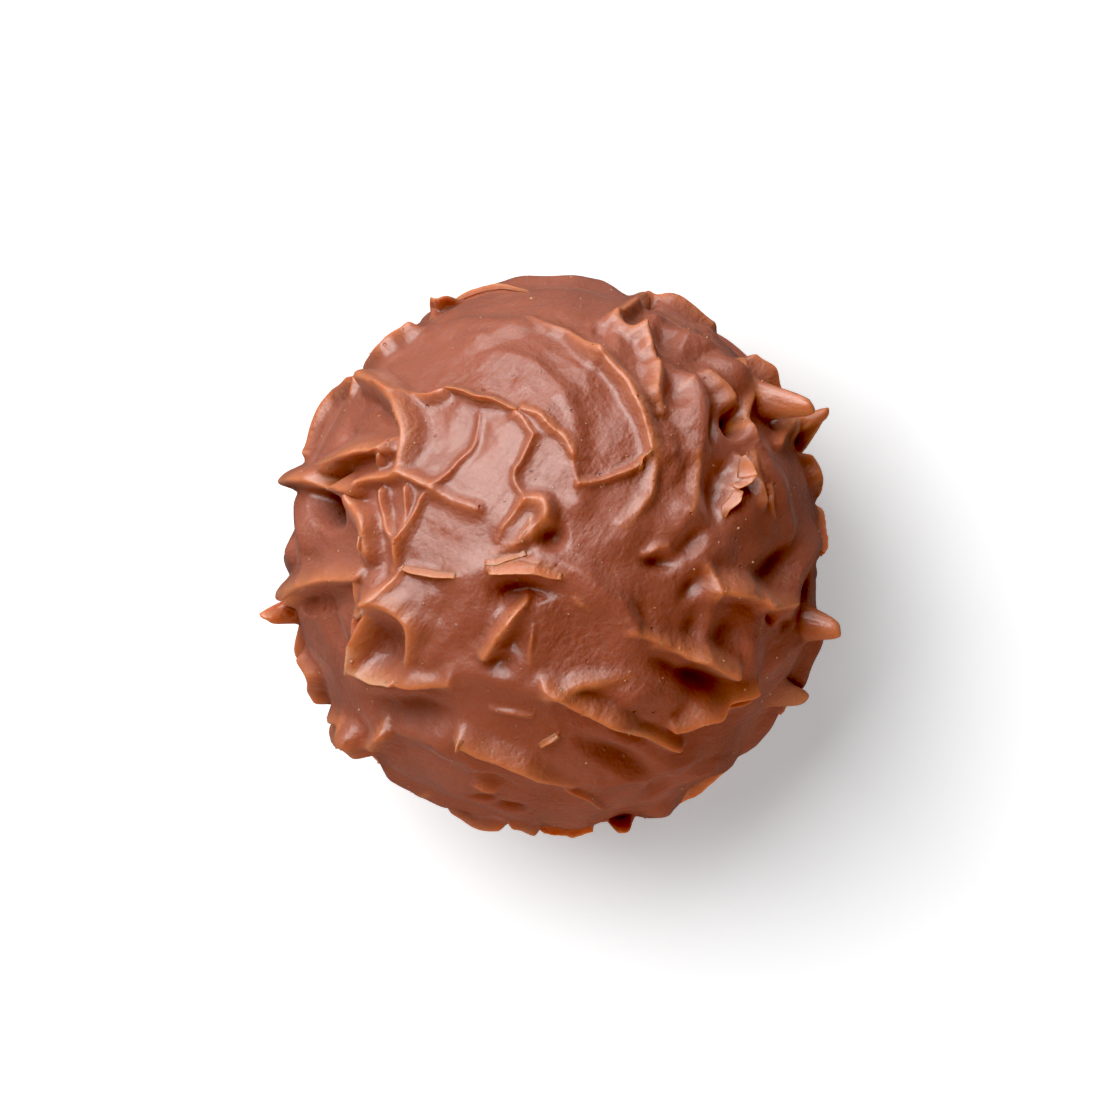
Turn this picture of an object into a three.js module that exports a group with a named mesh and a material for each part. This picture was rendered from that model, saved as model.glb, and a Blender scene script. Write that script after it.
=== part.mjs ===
// A milk chocolate truffle: one solid ball, its soft coating drawn up into ridges, fins, folds and spikes.
// Millimetres, +Z up. The origin is the middle of the flat spot that the truffle rests on. X is the right
// and Y the top of the truffle as it is seen from straight above.
import * as THREE from "three";
import { mergeVertices } from "three/addons/utils/BufferGeometryUtils.js";

// Driving dimensions
const BALL = new THREE.Vector3(13.1, 13.5, 13.0); // half-widths of the rolled ball under its crags
const RADIUS = (BALL.x + BALL.y + BALL.z) / 3;
const REST_RADIUS = 4.6; // of the flat spot underneath
const CENTRE_HEIGHT = BALL.z * Math.sqrt(1 - (REST_RADIUS / RADIUS) ** 2);
const SKIN_SPLITS = 23; // cuts along each side of the icosahedron that the skin starts from
const TOP_CROWDING = 0.85; // below 1 the skin's points crowd together towards the top
const PATH_STEPS = 10; // straight stretches along each crag's crest
const CRAG_REACH = 3.2; // beyond this distance a crag no longer lifts the skin
const PINCH_REACH = 1.2; // skin this near to a crest is drawn in towards it
const PINCH_POWER = 1.4;
const BLEND_POWER = 3; // how sharply one crag takes over from the next
const WIDTH_AT_REST = 0.5; // a crag's width at no height, as a part of that at a height of a millimetre
const UNDER_STEEPER = 0.4; // how much steeper a crag is on the side that it leans over
const LEAST_HEIGHT = 0.05;
const SPIKE_POWER = 3.5; // how blunt a spike's tip is
const SCOOP_REACH = 1.5; // how far a hollow reaches, for each millimetre of its radius
const SOFTENING = 0.35; // how far each point of the skin is drawn towards the middle of its neighbours
const LUMP_HEIGHT = 0.12; // of the slow waves left by rolling
const LUMP_TURNS = [5, 4, 4.5]; // how fast those come one after another along each axis
const LUMP_SHIFTS = [1, 2, Math.PI / 2];
const CHOCOLATE = 0x8f5338;

// Cross-sections. thin is the crest's share of the height, edge and flank are how far the crest and the slope
// under it reach to each side, and round is the radius along the top of the slope.
const RIDGE = { thin: 0.75, edge: 0.9, flank: 1.3, round: 0.3 };
const FIN = { thin: 0.8, edge: 0.75, flank: 1.1, round: 0.2 };
const FLAKE = { thin: 0.75, edge: 0.75, flank: 1.0, round: 0.1 };
const FOLD = { thin: 0.0, edge: 1.0, flank: 1.8, round: 0.5 };
const LINE = { thin: 0.8, edge: 0.65, flank: 1.0, round: 0.12 };
const KNOB = { thin: 0.0, edge: 1.0, flank: 1.2, round: 0.5 };

// Crags that show from above. Each row is a kind, where the crest shows at its start and end, its bow, which
// is how far its middle stands off the straight line, its height at the start, middle and end, and its lean
// for each millimetre of height. Bow and lean are positive to the left of the way from start to end.
const CRAGS_ABOVE = [
  // far left edge
  [LINE, -6.1, 12.8, -6.2, 12.0, 0.0, 0.4, 0.4, 0.2, 0.0],
  [FIN, -7.4, 11.7, -9.7, 9.5, -0.1, 0.9, 0.7, 0.3, 0.0],
  [FIN, -10.4, 8.8, -12.5, 5.2, -0.6, 0.4, 0.6, 0.4, 0.0],
  // left crescent
  [RIDGE, -10.1, 9.1, -7.9, 4.3, 1.2, 1.1, 1.1, 0.6, -0.25],
  [LINE, -10.1, 9.0, -10.4, 7.7, 0.0, 0.6, 0.4, 0.15, 0.0],
  [FIN, -8.7, 8.6, -5.7, 8.3, -0.45, 0.7, 0.4, 0.6, 0.0],
  [RIDGE, -12.0, 4.35, -8.8, 5.1, 0.3, 0.8, 1.3, 1.0, -0.6],
  [FIN, -8.75, 4.9, -7.9, 5.75, 0.15, 0.8, 0.7, 0.4, -0.3],
  // crown
  [FOLD, -7.0, 11.3, -2.2, 11.65, 0.1, 0.15, 0.3, 0.4, 0.0],
  [FOLD, -4.9, 10.75, -2.4, 11.2, -0.05, 0.1, 0.3, 0.15, 0.0],
  [RIDGE, -1.2, 11.75, 2.1, 10.05, 0.2, 0.5, 0.6, 0.9, -0.1],
  [RIDGE, 2.1, 10.05, 4.7, 5.4, 0.55, 0.9, 1.0, 0.8, -0.3],
  [FOLD, -3.0, 10.1, 0.4, 7.9, 0.45, 0.1, 0.3, 0.4, 0.2],
  [FOLD, 0.4, 7.9, 0.9, 4.5, 0.35, 0.4, 0.4, 0.2, 0.2],
  [FOLD, -1.4, 8.5, 0.3, 6.0, 0.1, 0.3, 0.4, 0.2, 0.0],
  [FLAKE, -5.6, 8.4, -2.0, 7.15, 0.1, 0.5, 0.7, 0.5, -0.3],
  [FIN, -1.7, 7.3, 0.8, 5.0, 0.35, 0.5, 0.6, 0.5, -0.2],
  [FIN, 0.8, 5.0, 1.05, 3.5, 0.0, 0.5, 0.45, 0.4, 0.0],
  [FIN, -2.0, 7.1, -1.1, 5.9, 0.1, 0.5, 0.45, 0.45, 0.1],
  [FIN, -1.1, 5.9, -2.0, 4.2, 0.0, 0.45, 0.5, 0.4, 0.1],
  [FIN, -2.0, 4.3, -1.7, 3.1, -0.15, 0.4, 0.35, 0.3, 0.0],
  [LINE, -3.8, 7.0, -6.2, 3.5, 0.5, 0.15, 0.35, 0.4, 0.1],
  // upper right
  [RIDGE, 3.0, 12.0, 4.4, 13.2, 0.1, 0.6, 0.8, 0.7, -0.2],
  [RIDGE, 3.0, 12.1, 4.4, 11.4, -0.45, 0.6, 0.5, 0.9, 0.1],
  [FIN, 4.45, 11.4, 4.9, 9.8, 0.0, 0.9, 0.8, 0.5, 0.2],
  [RIDGE, 5.15, 9.6, 5.25, 7.2, -0.1, 0.8, 0.8, 0.4, 0.1],
  [FOLD, 2.7, 11.3, 2.8, 10.3, 0.0, 0.2, 0.3, 0.2, 0.0],
  [RIDGE, 4.7, 13.3, 7.95, 11.9, 0.3, 0.6, 0.9, 0.9, 0.0],
  [FOLD, 5.2, 12.05, 6.6, 11.1, 0.0, 0.5, 0.6, 0.4, -0.3],
  [FOLD, 6.3, 11.1, 9.2, 9.6, 0.35, 0.5, 1.1, 1.0, 0.0],
  [RIDGE, 9.4, 9.8, 9.45, 8.2, 0.0, 1.0, 0.9, 0.7, 0.0],
  [RIDGE, 9.8, 8.0, 9.8, 6.2, -0.2, 0.8, 0.9, 0.7, 0.1],
  [FOLD, 9.85, 6.2, 11.8, 1.6, 0.2, 0.7, 0.7, 0.4, 0.0],
  [FIN, 12.8, 7.1, 11.3, 5.7, -0.4, 1.7, 1.0, 0.5, -0.1],
  [FIN, 10.0, 10.1, 11.9, 8.3, 0.45, 0.9, 1.5, 1.1, 0.0],
  [RIDGE, 12.0, 6.2, 13.2, 6.15, 0.25, 0.8, 1.2, 1.0, -0.4],
  [FOLD, 6.9, 8.8, 7.1, 5.4, 0.4, 1.0, 1.2, 0.9, 0.1],
  [LINE, 6.1, 8.3, 6.65, 8.75, -0.1, 0.2, 0.3, 0.2, 0.0],
  [RIDGE, 7.7, 9.2, 8.95, 7.9, 0.1, 0.5, 0.7, 0.8, 0.2],
  [FIN, 8.9, 8.0, 9.6, 6.0, 0.1, 0.6, 0.6, 0.4, 0.2],
  [RIDGE, 5.3, 5.8, 5.4, 4.4, 0.0, 0.6, 0.6, 0.3, 0.0],
  // right
  [FLAKE, 9.5, 5.1, 9.1, 3.25, 0.55, 0.7, 1.2, 0.8, 0.3],
  [FLAKE, 9.35, 3.1, 8.45, 1.9, 0.0, 0.9, 0.7, 0.3, 0.3],
  [RIDGE, 9.9, 5.0, 10.45, 2.9, 0.0, 0.5, 0.6, 0.4, 0.1],
  [LINE, 10.65, 3.4, 10.75, 1.9, 0.0, 0.5, 0.5, 0.2, 0.0],
  [RIDGE, 7.0, 5.0, 6.7, 2.2, 0.2, 0.5, 0.6, 0.5, 0.2],
  [FOLD, 6.7, 2.3, 5.6, 1.3, 0.1, 0.5, 0.4, 0.2, 0.0],
  [FOLD, 9.0, 1.8, 10.5, 2.3, 0.25, 0.2, 0.4, 0.3, 0.0],
  [FOLD, 8.3, 0.5, 6.0, -1.2, -0.2, 0.4, 0.7, 0.4, 0.0],
  [RIDGE, 7.5, -0.6, 8.0, -1.9, 0.0, 0.5, 0.6, 0.9, 0.0],
  [RIDGE, 8.1, -1.9, 10.6, -2.5, 0.25, 0.9, 1.1, 1.0, -0.4],
  [RIDGE, 10.6, -2.5, 11.9, -2.25, -0.1, 1.0, 0.9, 0.8, -0.3],
  [FOLD, 11.8, -2.2, 13.3, 0.7, 0.1, 0.8, 0.8, 0.7, 0.0],
  [FOLD, 12.4, -4.2, 10.2, -6.0, 0.0, 0.5, 0.4, 0.2, 0.0],
  [FOLD, 9.2, -3.2, 9.7, -6.0, 0.1, 0.4, 0.7, 0.5, 0.0],
  [FIN, 12.0, 4.6, 12.7, 3.0, 0.1, 0.3, 0.4, 0.3, 0.0],
  // middle
  [RIDGE, 5.0, 4.9, 3.4, 1.5, 0.45, 0.7, 0.6, 0.3, 0.2],
  [LINE, 1.1, 3.5, 4.1, 4.5, -0.2, 0.4, 0.35, 0.45, -0.2],
  [FOLD, 2.2, 1.2, 3.4, 2.4, 0.0, 0.3, 0.4, 0.3, 0.0],
  [FLAKE, 4.1, 4.3, 4.7, 5.1, 0.1, 0.4, 0.6, 0.5, 0.0],
  [KNOB, 1.35, 3.25, 1.2, 2.6, 0.0, 0.35, 0.3, 0.4, 0.0],
  [FIN, -2.9, 0.8, -1.5, 2.8, 0.1, 0.3, 0.5, 0.6, 0.0],
  [RIDGE, -1.5, 2.8, -0.5, 1.8, 0.6, 0.6, 0.9, 0.8, 0.1],
  [RIDGE, -0.5, 1.8, -3.1, 0.1, 0.1, 0.8, 0.5, 0.2, 0.0],
  [LINE, -1.2, 1.9, -1.8, 0.85, 0.0, 0.4, 0.4, 0.3, 0.0],
  [FLAKE, -3.5, -0.5, -1.4, 0.0, -0.1, 0.3, 0.45, 0.3, -0.4],
  [FLAKE, -3.3, -1.05, 0.15, -1.4, 0.25, 0.8, 1.1, 0.7, -0.5],
  [FOLD, -0.8, -0.1, 4.0, -3.4, 0.4, 0.5, 0.8, 0.7, 0.2],
  [FIN, 3.6, -3.9, 5.6, -4.4, 0.1, 0.4, 0.5, 0.6, -0.2],
  [RIDGE, 5.0, -4.4, 8.9, -6.1, 0.15, 0.5, 1.0, 1.2, -0.3],
  [LINE, 0.9, -2.1, 1.6, -2.65, 0.0, 0.3, 0.3, 0.15, -0.1],
  [FIN, 4.4, 0.1, 5.5, 0.45, 0.0, 0.3, 0.4, 0.3, -0.4],
  [FIN, -1.5, -2.2, -3.6, -5.1, -0.05, 0.5, 1.0, 0.9, 0.1],
  [LINE, -1.1, -3.4, -1.3, -5.2, -0.05, 0.1, 0.3, 0.2, 0.0],
  // left
  [RIDGE, -14.0, 3.65, -10.3, 3.05, 0.3, 1.2, 0.9, 1.0, -0.4],
  [RIDGE, -10.45, 2.95, -9.35, 0.2, 0.2, 0.9, 1.2, 0.9, 0.2],
  [FLAKE, -9.25, 0.9, -9.6, 0.0, 0.1, 0.5, 0.6, 0.4, 0.2],
  [FIN, -9.8, 3.6, -6.2, 3.35, 0.45, 0.8, 0.7, 0.6, -0.3],
  [RIDGE, -6.2, 3.3, -4.0, 2.35, -0.1, 0.45, 0.35, 0.4, -0.1],
  [LINE, -8.75, 3.3, -8.05, 0.7, -0.2, 0.5, 0.45, 0.5, 0.0],
  [LINE, -7.5, 3.4, -7.75, 0.9, 0.1, 0.5, 0.4, 0.5, 0.0],
  [LINE, -6.6, 3.1, -7.7, 0.9, 0.0, 0.4, 0.4, 0.5, 0.0],
  [LINE, -7.85, 0.8, -8.05, -0.8, 0.0, 0.6, 0.6, 0.4, 0.0],
  [FOLD, -12.5, 2.8, -12.2, -0.2, -0.2, 0.4, 0.6, 0.3, 0.0],
  [KNOB, -13.4, 0.5, -13.5, -0.1, 0.0, 0.4, 0.6, 0.4, 0.0],
  [RIDGE, -9.95, -1.15, -14.3, -2.2, -0.35, 0.8, 0.9, 1.4, 0.35],
  [FIN, -9.95, -1.3, -10.1, -4.4, 0.0, 0.6, 0.5, 0.5, -0.1],
  [LINE, -13.4, -1.9, -13.6, -2.7, 0.0, 0.9, 0.7, 0.3, 0.0],
  [FLAKE, -7.6, -0.7, -4.95, -1.15, -0.05, 0.4, 0.5, 0.4, -0.3],
  [FOLD, -4.9, -1.15, -3.2, -0.5, 0.0, 0.3, 0.3, 0.3, 0.0],
  [FOLD, -4.3, -1.4, -6.3, -5.1, 0.4, 0.2, 0.3, 0.25, 0.0],
  // left cup
  [FIN, -9.4, -2.35, -7.7, -0.8, -0.15, 1.2, 0.8, 0.4, 0.0],
  [FOLD, -9.3, -2.4, -6.2, -2.25, 0.0, 1.1, 0.6, 0.15, 0.0],
  [FOLD, -9.2, -2.5, -5.6, -3.9, 0.2, 1.1, 0.6, 0.15, 0.0],
  [RIDGE, -9.2, -2.5, -7.5, -5.3, 0.95, 1.2, 0.9, 0.5, -0.25],
  [LINE, -9.4, -2.4, -9.75, -3.0, 0.0, 1.1, 0.7, 0.3, 0.0],
  [FIN, -9.75, -3.0, -10.5, -5.65, -0.1, 0.8, 0.9, 0.9, -0.2],
  [LINE, -10.15, -4.4, -10.45, -5.7, -0.1, 0.6, 0.9, 0.8, -0.3],
  [RIDGE, -10.1, -5.95, -5.3, -6.35, -0.3, 0.6, 1.0, 0.7, -0.3],
  [LINE, -10.1, -5.95, -8.3, -6.5, -0.1, 0.9, 1.1, 0.9, -0.4],
  [KNOB, -5.5, -6.3, -5.1, -6.3, 0.0, 0.5, 0.7, 0.5, 0.0],
  // near side
  [FOLD, -4.9, -5.6, -0.6, -6.7, 0.0, 0.35, 0.4, 0.5, 0.0],
  [FOLD, 2.5, -6.6, 5.6, -7.2, 0.0, 0.3, 0.5, 0.4, 0.0],
  [FOLD, -3.6, -5.35, -1.3, -5.25, -0.35, 0.35, 0.35, 0.3, 0.0],
  [RIDGE, -0.6, -6.6, 6.2, -9.7, -0.35, 0.9, 1.1, 0.2, -0.1],
  [RIDGE, -0.4, -6.7, 3.6, -5.5, -0.1, 0.8, 0.7, 0.2, 0.0],
  [FLAKE, -4.6, -8.7, -4.85, -9.4, 0.0, 0.4, 0.6, 0.8, -0.1],
  [RIDGE, -4.8, -9.4, 0.8, -11.4, -0.25, 0.8, 0.8, 0.2, -0.1],
  [LINE, 0.4, -11.5, 2.5, -12.7, 0.0, 0.3, 0.35, 0.2, 0.0],
  [LINE, -3.2, -7.5, -1.2, -7.85, -0.1, 0.1, 0.25, 0.2, 0.0],
  [FLAKE, -0.75, -9.45, 0.1, -8.85, 0.0, 0.4, 0.4, 0.3, 0.0],
  [FIN, -4.1, -11.5, -3.1, -11.75, 0.0, 0.3, 0.45, 0.3, -0.2],
  [KNOB, 4.7, -12.6, 5.3, -12.5, 0.0, 0.4, 0.6, 0.4, 0.0],
  [RIDGE, 6.0, -8.85, 10.1, -6.95, -0.25, 0.5, 0.9, 0.7, -0.35],
  [FIN, 6.7, -7.65, 9.7, -7.2, -0.2, 0.3, 0.5, 0.5, 0.0],
  [FOLD, 3.9, -12.2, 6.6, -10.3, -0.1, 0.3, 0.45, 0.2, 0.0],
  [KNOB, -11.5, -9.1, -10.0, -9.7, 0.0, 0.9, 1.3, 0.9, 0.0],
  [FIN, -11.4, -8.3, -10.3, -8.5, 0.0, 0.9, 0.7, 0.4, -0.2],
  [FIN, -11.9, -5.0, -11.5, -7.2, 0.0, 0.4, 0.5, 0.8, 0.0],
  [RIDGE, -9.4, -9.7, -8.7, -8.5, 0.0, 0.7, 0.9, 0.4, 0.0],
  [FOLD, -7.9, -8.8, -4.4, -10.2, 0.0, 0.3, 0.4, 0.2, 0.0],
  [FOLD, 7.2, -11.0, 8.5, -10.6, 0.0, 0.4, 0.5, 0.3, 0.0],
];

// Spikes drawn out of the coating. Each row is where the spike starts and where its tip shows from above, the
// tip's height over the ball and the radius of the spike's foot.
const SPIKES_ABOVE = [
  [-5.4, 12.5, -5.9, 12.8, 0.9, 0.85],
  [9.8, 8.1, 12.7, 7.35, 2.0, 1.5],
  [12.4, 6.4, 13.6, 6.8, 2.0, 1.0],
  [12.7, 5.6, 14.2, 6.3, 2.2, 0.9],
  [12.0, -3.1, 13.9, -3.6, 1.4, 1.3],
  [-13.0, -2.7, -14.3, -3.1, 1.6, 0.8],
  [11.0, -6.9, 12.7, -7.3, 1.4, 1.0],
  [3.2, -13.2, 3.4, -13.9, 0.9, 0.85],
];

// Hollows that show from above. Each row is where the hollow's deepest line starts and ends, its radius and
// its depth.
const SCOOPS_ABOVE = [
  // left
  [-9.0, 8.0, -8.1, 6.9, 0.5, 0.5],
  [-10.6, 6.0, -10.3, 6.0, 0.5, 0.25],
  [-9.8, 7.0, -9.6, 7.2, 1.6, 0.4],
  [-7.9, 11.1, -8.9, 10.0, 0.35, 0.3],
  [-11.4, 4.0, -10.0, 4.05, 0.55, 1.8],
  [-11.3, 2.7, -10.7, 1.4, 0.6, 1.6],
  [-9.4, 3.0, -9.5, 2.3, 0.4, 0.4],
  [-12.8, -2.1, -10.4, -2.2, 0.6, 0.7],
  [-11.2, -3.0, -10.7, -4.0, 0.7, 0.4],
  [-8.9, -3.6, -8.7, -4.9, 1.35, 1.1],
  [-9.2, -7.1, -6.3, -7.5, 0.8, 0.9],
  [-8.2, 2.6, -8.1, 1.6, 0.35, 0.3],
  [-5.2, 6.2, -5.0, 6.2, 1.6, 0.25],
  [-5.6, 1.0, -5.4, 1.0, 2.0, 0.25],
  // middle
  [-0.3, 1.2, -0.15, 1.0, 0.65, 1.1],
  [-2.3, 1.3, -2.0, 1.7, 0.35, 0.3],
  [-2.9, -1.6, -0.2, -1.65, 0.55, 0.9],
  [-2.5, -2.0, -2.3, -2.1, 0.7, 0.4],
  [3.9, -2.6, 4.4, -3.3, 0.5, 0.4],
  [4.3, -0.15, 5.0, 0.1, 0.3, 0.4],
  [-3.1, -5.2, -2.4, -5.2, 0.5, 0.4],
  [-2.1, -4.4, -2.2, -3.6, 0.6, 0.3],
  [5.3, -5.2, 6.2, -5.6, 0.6, 0.6],
  [1.8, -4.0, 2.0, -4.0, 1.8, 0.3],
  // right
  [4.3, 12.4, 5.0, 12.2, 0.4, 0.8],
  [5.1, 10.8, 5.2, 10.2, 0.5, 0.5],
  [2.15, 11.3, 2.5, 10.4, 0.45, 0.35],
  [5.7, 8.8, 5.8, 7.3, 0.5, 0.6],
  [8.75, 7.0, 8.4, 6.1, 0.5, 1.4],
  [10.65, 7.1, 10.75, 6.5, 0.6, 1.3],
  [12.1, 5.6, 12.4, 4.8, 0.6, 1.0],
  [7.8, 7.2, 7.4, 5.4, 0.45, 0.5],
  [7.5, 4.6, 7.2, 1.6, 0.6, 0.5],
  [8.3, 4.3, 8.3, 4.1, 0.3, 0.3],
  [9.5, 3.9, 9.3, 3.5, 0.35, 0.4],
  [6.9, 1.2, 6.2, 0.3, 0.6, 0.5],
  [11.8, 0.3, 10.7, -1.5, 0.8, 0.6],
  [12.5, -1.0, 12.3, -2.2, 0.5, 0.5],
  [8.8, -2.8, 8.7, -4.4, 0.9, 1.0],
  [10.5, -2.9, 10.6, -3.0, 0.3, 0.5],
  [11.0, -3.3, 11.4, -3.2, 0.4, 0.3],
  [7.0, -1.0, 6.3, -1.9, 0.45, 0.5],
  [6.6, -3.1, 6.2, -3.9, 0.5, 0.4],
  [6.3, -5.9, 8.9, -7.0, 0.7, 1.7],
  // near side
  [1.2, -8.9, 4.6, -10.2, 0.6, 0.6],
  [2.4, -8.0, 5.0, -8.8, 0.45, 0.5],
  [-3.9, -10.6, -2.6, -11.2, 0.4, 0.3],
  [-4.2, -11.95, -3.0, -12.1, 0.35, 0.5],
  [-2.05, -12.5, -2.0, -12.4, 0.5, 0.7],
  [4.9, -11.7, 5.3, -11.2, 0.7, 0.4],
  [9.5, -8.6, 10.3, -8.0, 1.6, 0.3],
  [7.0, -10.9, 7.4, -10.9, 0.25, 0.3],
];

// Crags round the lower half, which follow a rule. They keep clear of those above, and are lower near the
// ball's widest girth.
const LOWER_CRAGS = 84;
const LOWER_TOP = 0.14; // highest and lowest of them, as parts of the ball's half-height
const LOWER_BOTTOM = -0.86;
const LOWER_CLEARANCE = 1.9;
const GIRTH_SHARE = 0.4; // of their full height, at the top
const FULL_BELOW = -0.4; // from here down they have their full height
const LOWER_LENGTH = [2.5, 7.0];
const LOWER_HEIGHT = [0.5, 1.3];
const LOWER_BOW = 0.9;
const LOWER_LEAN = 0.4;
const LOWER_KINDS = [FIN, FLAKE, FOLD, FIN, FOLD];
const GOLDEN_ANGLE = Math.PI * (3 - Math.sqrt(5));

// A repeatable random number from 0 to 1 for the draw-th choice about one crag
function chance(crag, draw) {
  const spread = Math.sin(crag * 12.9898 + draw * 78.233) * 43758.5453;
  return spread - Math.floor(spread);
}

function between([low, high], part) {
  return low + (high - low) * part;
}

function ease(part) {
  return part * part * (3 - 2 * part);
}

// The way from the ball's centre to a spot of some height over it that shows at x, y from above
function seenFromAbove(x, y, height) {
  const way = new THREE.Vector3(x / (BALL.x + height), y / (BALL.y + height), 0);
  way.z = Math.sqrt(Math.max(0, 1 - way.lengthSq()));
  return way.normalize();
}

// Turns x, y around a spot on the ball into the way there from the centre
function seenFacing(spot, heading) {
  const east = new THREE.Vector3(0, 0, 1).cross(spot).normalize();
  const north = spot.clone().cross(east);
  const ahead = east.clone().multiplyScalar(Math.cos(heading)).addScaledVector(north, Math.sin(heading));
  const aside = spot.clone().cross(ahead);
  return (x, y) =>
    spot.clone().addScaledVector(ahead, x / RADIUS).addScaledVector(aside, y / RADIUS).normalize();
}

function heightAlong([atStart, atMiddle, atEnd], along) {
  if (along < 0.5) return atStart + (atMiddle - atStart) * ease(along * 2);
  return atMiddle + (atEnd - atMiddle) * ease(along * 2 - 1);
}

// A crag's crest as ways from the ball's centre, with what is needed to measure from it. The crest starts
// as far beside the place where it shows as it leans over.
function makeCrag([kind, startX, startY, endX, endY, bow, atStart, atMiddle, atEnd, lean], place) {
  const heights = [atStart, atMiddle, atEnd];
  const length = Math.hypot(endX - startX, endY - startY);
  const sideX = (startY - endY) / length;
  const sideY = (endX - startX) / length;
  const crest = [];
  for (let step = 0; step <= PATH_STEPS; step++) {
    const part = step / PATH_STEPS;
    const height = heightAlong(heights, part);
    const off = 4 * bow * part * (1 - part) - lean * height;
    const x = startX + (endX - startX) * part + sideX * off;
    const y = startY + (endY - startY) * part + sideY * off;
    crest.push(place(x, y, height));
  }
  const stretches = [];
  for (let step = 0; step < PATH_STEPS; step++) {
    const run = crest[step + 1].clone().sub(crest[step]);
    const left = crest[step].clone().cross(run).normalize();
    stretches.push({ from: crest[step], run, left, lengthSq: run.lengthSq() });
  }
  const reach = (length / 2 + Math.abs(bow) + CRAG_REACH) / RADIUS;
  return { kind, stretches, middle: crest[PATH_STEPS / 2], reach, heights, lean };
}

function makeSpike([rootX, rootY, tipX, tipY, height, foot]) {
  const root = seenFromAbove(rootX, rootY, 0);
  const tip = seenFromAbove(tipX, tipY, height);
  const pull = tip.clone().multiply(BALL).addScaledVector(tip, height).sub(root.clone().multiply(BALL));
  return { root, foot, pull };
}

function makeScoop([startX, startY, endX, endY, radius, depth]) {
  const start = seenFromAbove(startX, startY, 0);
  const run = seenFromAbove(endX, endY, 0).sub(start);
  const middle = start.addScaledVector(run, 0.5);
  const reach = SCOOP_REACH * radius;
  return { middle, ahead: run.clone().normalize(), half: (run.length() * RADIUS) / 2 + reach, reach, depth };
}

// The nearest spot of a crag's crest: how far along it is, the gap to it and which side that is on
function nearest(crag, way) {
  if (crag.middle.distanceTo(way) > crag.reach) return null;
  let best = { gapSq: Infinity };
  const offset = new THREE.Vector3();
  crag.stretches.forEach((stretch, step) => {
    offset.copy(way).sub(stretch.from);
    const part = THREE.MathUtils.clamp(offset.dot(stretch.run) / stretch.lengthSq, 0, 1);
    offset.addScaledVector(stretch.run, -part);
    const gapSq = offset.lengthSq();
    if (gapSq < best.gapSq) best = { gapSq, stretch, part, step, toLeft: offset.dot(stretch.left) > 0 };
  });
  return {
    along: (best.step + best.part) / PATH_STEPS,
    gap: Math.sqrt(best.gapSq) * RADIUS,
    spot: best.stretch.from.clone().addScaledVector(best.stretch.run, best.part),
    left: best.stretch.left,
    toLeft: best.toLeft,
  };
}

// How far a crag of full height lifts the skin beside its crest. The side that it leans over is steeper.
function relief({ kind, lean }, full, { gap, toLeft }) {
  const width = WIDTH_AT_REST + (1 - WIDTH_AT_REST) * full;
  const leansOver = lean !== 0 && lean > 0 === toLeft;
  const flank = kind.flank * width * (leansOver ? 1 - UNDER_STEEPER : 1);
  const crest = Math.max(0, 1 - (gap / (kind.edge * width)) ** 2) ** 2;
  const slope = Math.max(0, 1 - (Math.hypot(gap, kind.round) - kind.round) / flank) ** 2;
  return full * (kind.thin * crest + (1 - kind.thin) * slope);
}

// How far a way is drawn out by a spike, as a part of the spike's length
function spikeShare({ root, foot }, way) {
  const gap = root.distanceTo(way) * RADIUS;
  return Math.max(0, 1 - (gap / foot) ** SPIKE_POWER) ** SPIKE_POWER;
}

function scoopedOut({ middle, ahead, half, reach, depth }, way) {
  const offset = way.clone().sub(middle).multiplyScalar(RADIUS);
  const along = offset.dot(ahead);
  const aside = offset.lengthSq() - along * along;
  return depth * Math.max(0, 1 - (along / half) ** 2 - aside / reach ** 2) ** 2;
}

function rollingLumps(way) {
  const waves = way.toArray().map((reach, axis) => Math.sin(LUMP_TURNS[axis] * reach + LUMP_SHIFTS[axis]));
  return LUMP_HEIGHT * waves[0] * waves[1] * waves[2];
}

// Moves the skin's points towards the top without changing the shape of its small triangles
function crowd(way) {
  const up = 1 + way.z;
  const down = TOP_CROWDING ** 2 * (1 - way.z);
  const across = 2 * TOP_CROWDING;
  return way.set(across * way.x, across * way.y, up - down).divideScalar(up + down);
}

function drawIn(way, spot, gap, reach) {
  const kept = (gap / reach) ** (PINCH_POWER - 1);
  way.sub(spot).multiplyScalar(kept).add(spot).normalize();
}

// Draws the skin's points in towards the crests and the spikes, so that these come out crisp
function pinch(way, crags, spikes) {
  for (const crag of crags) {
    const at = nearest(crag, way);
    if (at && at.gap < PINCH_REACH && crag.kind.thin > 0) drawIn(way, at.spot, at.gap, PINCH_REACH);
  }
  for (const { root, foot } of spikes) {
    const gap = root.distanceTo(way) * RADIUS;
    if (gap < foot) drawIn(way, root, gap, foot);
  }
  return way;
}

// Where the skin lies in one direction from the ball's centre
function skinPoint(way, { crags, spikes, scoops }) {
  let raised = 0;
  let shares = 0;
  const sway = new THREE.Vector3();
  for (const crag of crags) {
    const at = nearest(crag, way);
    if (!at) continue;
    const full = Math.max(LEAST_HEIGHT, heightAlong(crag.heights, at.along));
    const height = relief(crag, full, at);
    raised += height ** BLEND_POWER;
    shares += height ** 2;
    sway.addScaledVector(at.left, (crag.lean * height ** 4) / full);
  }
  let lift = Math.cbrt(raised) + rollingLumps(way);
  for (const scoop of scoops) lift -= scoopedOut(scoop, way);
  const point = way.clone().multiply(BALL).addScaledVector(way, lift);
  if (shares > 0) point.addScaledVector(sway, 1 / shares);
  for (const spike of spikes) point.addScaledVector(spike.pull, spikeShare(spike, way));
  point.z = Math.max(0, point.z + CENTRE_HEIGHT);
  return point;
}

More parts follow.
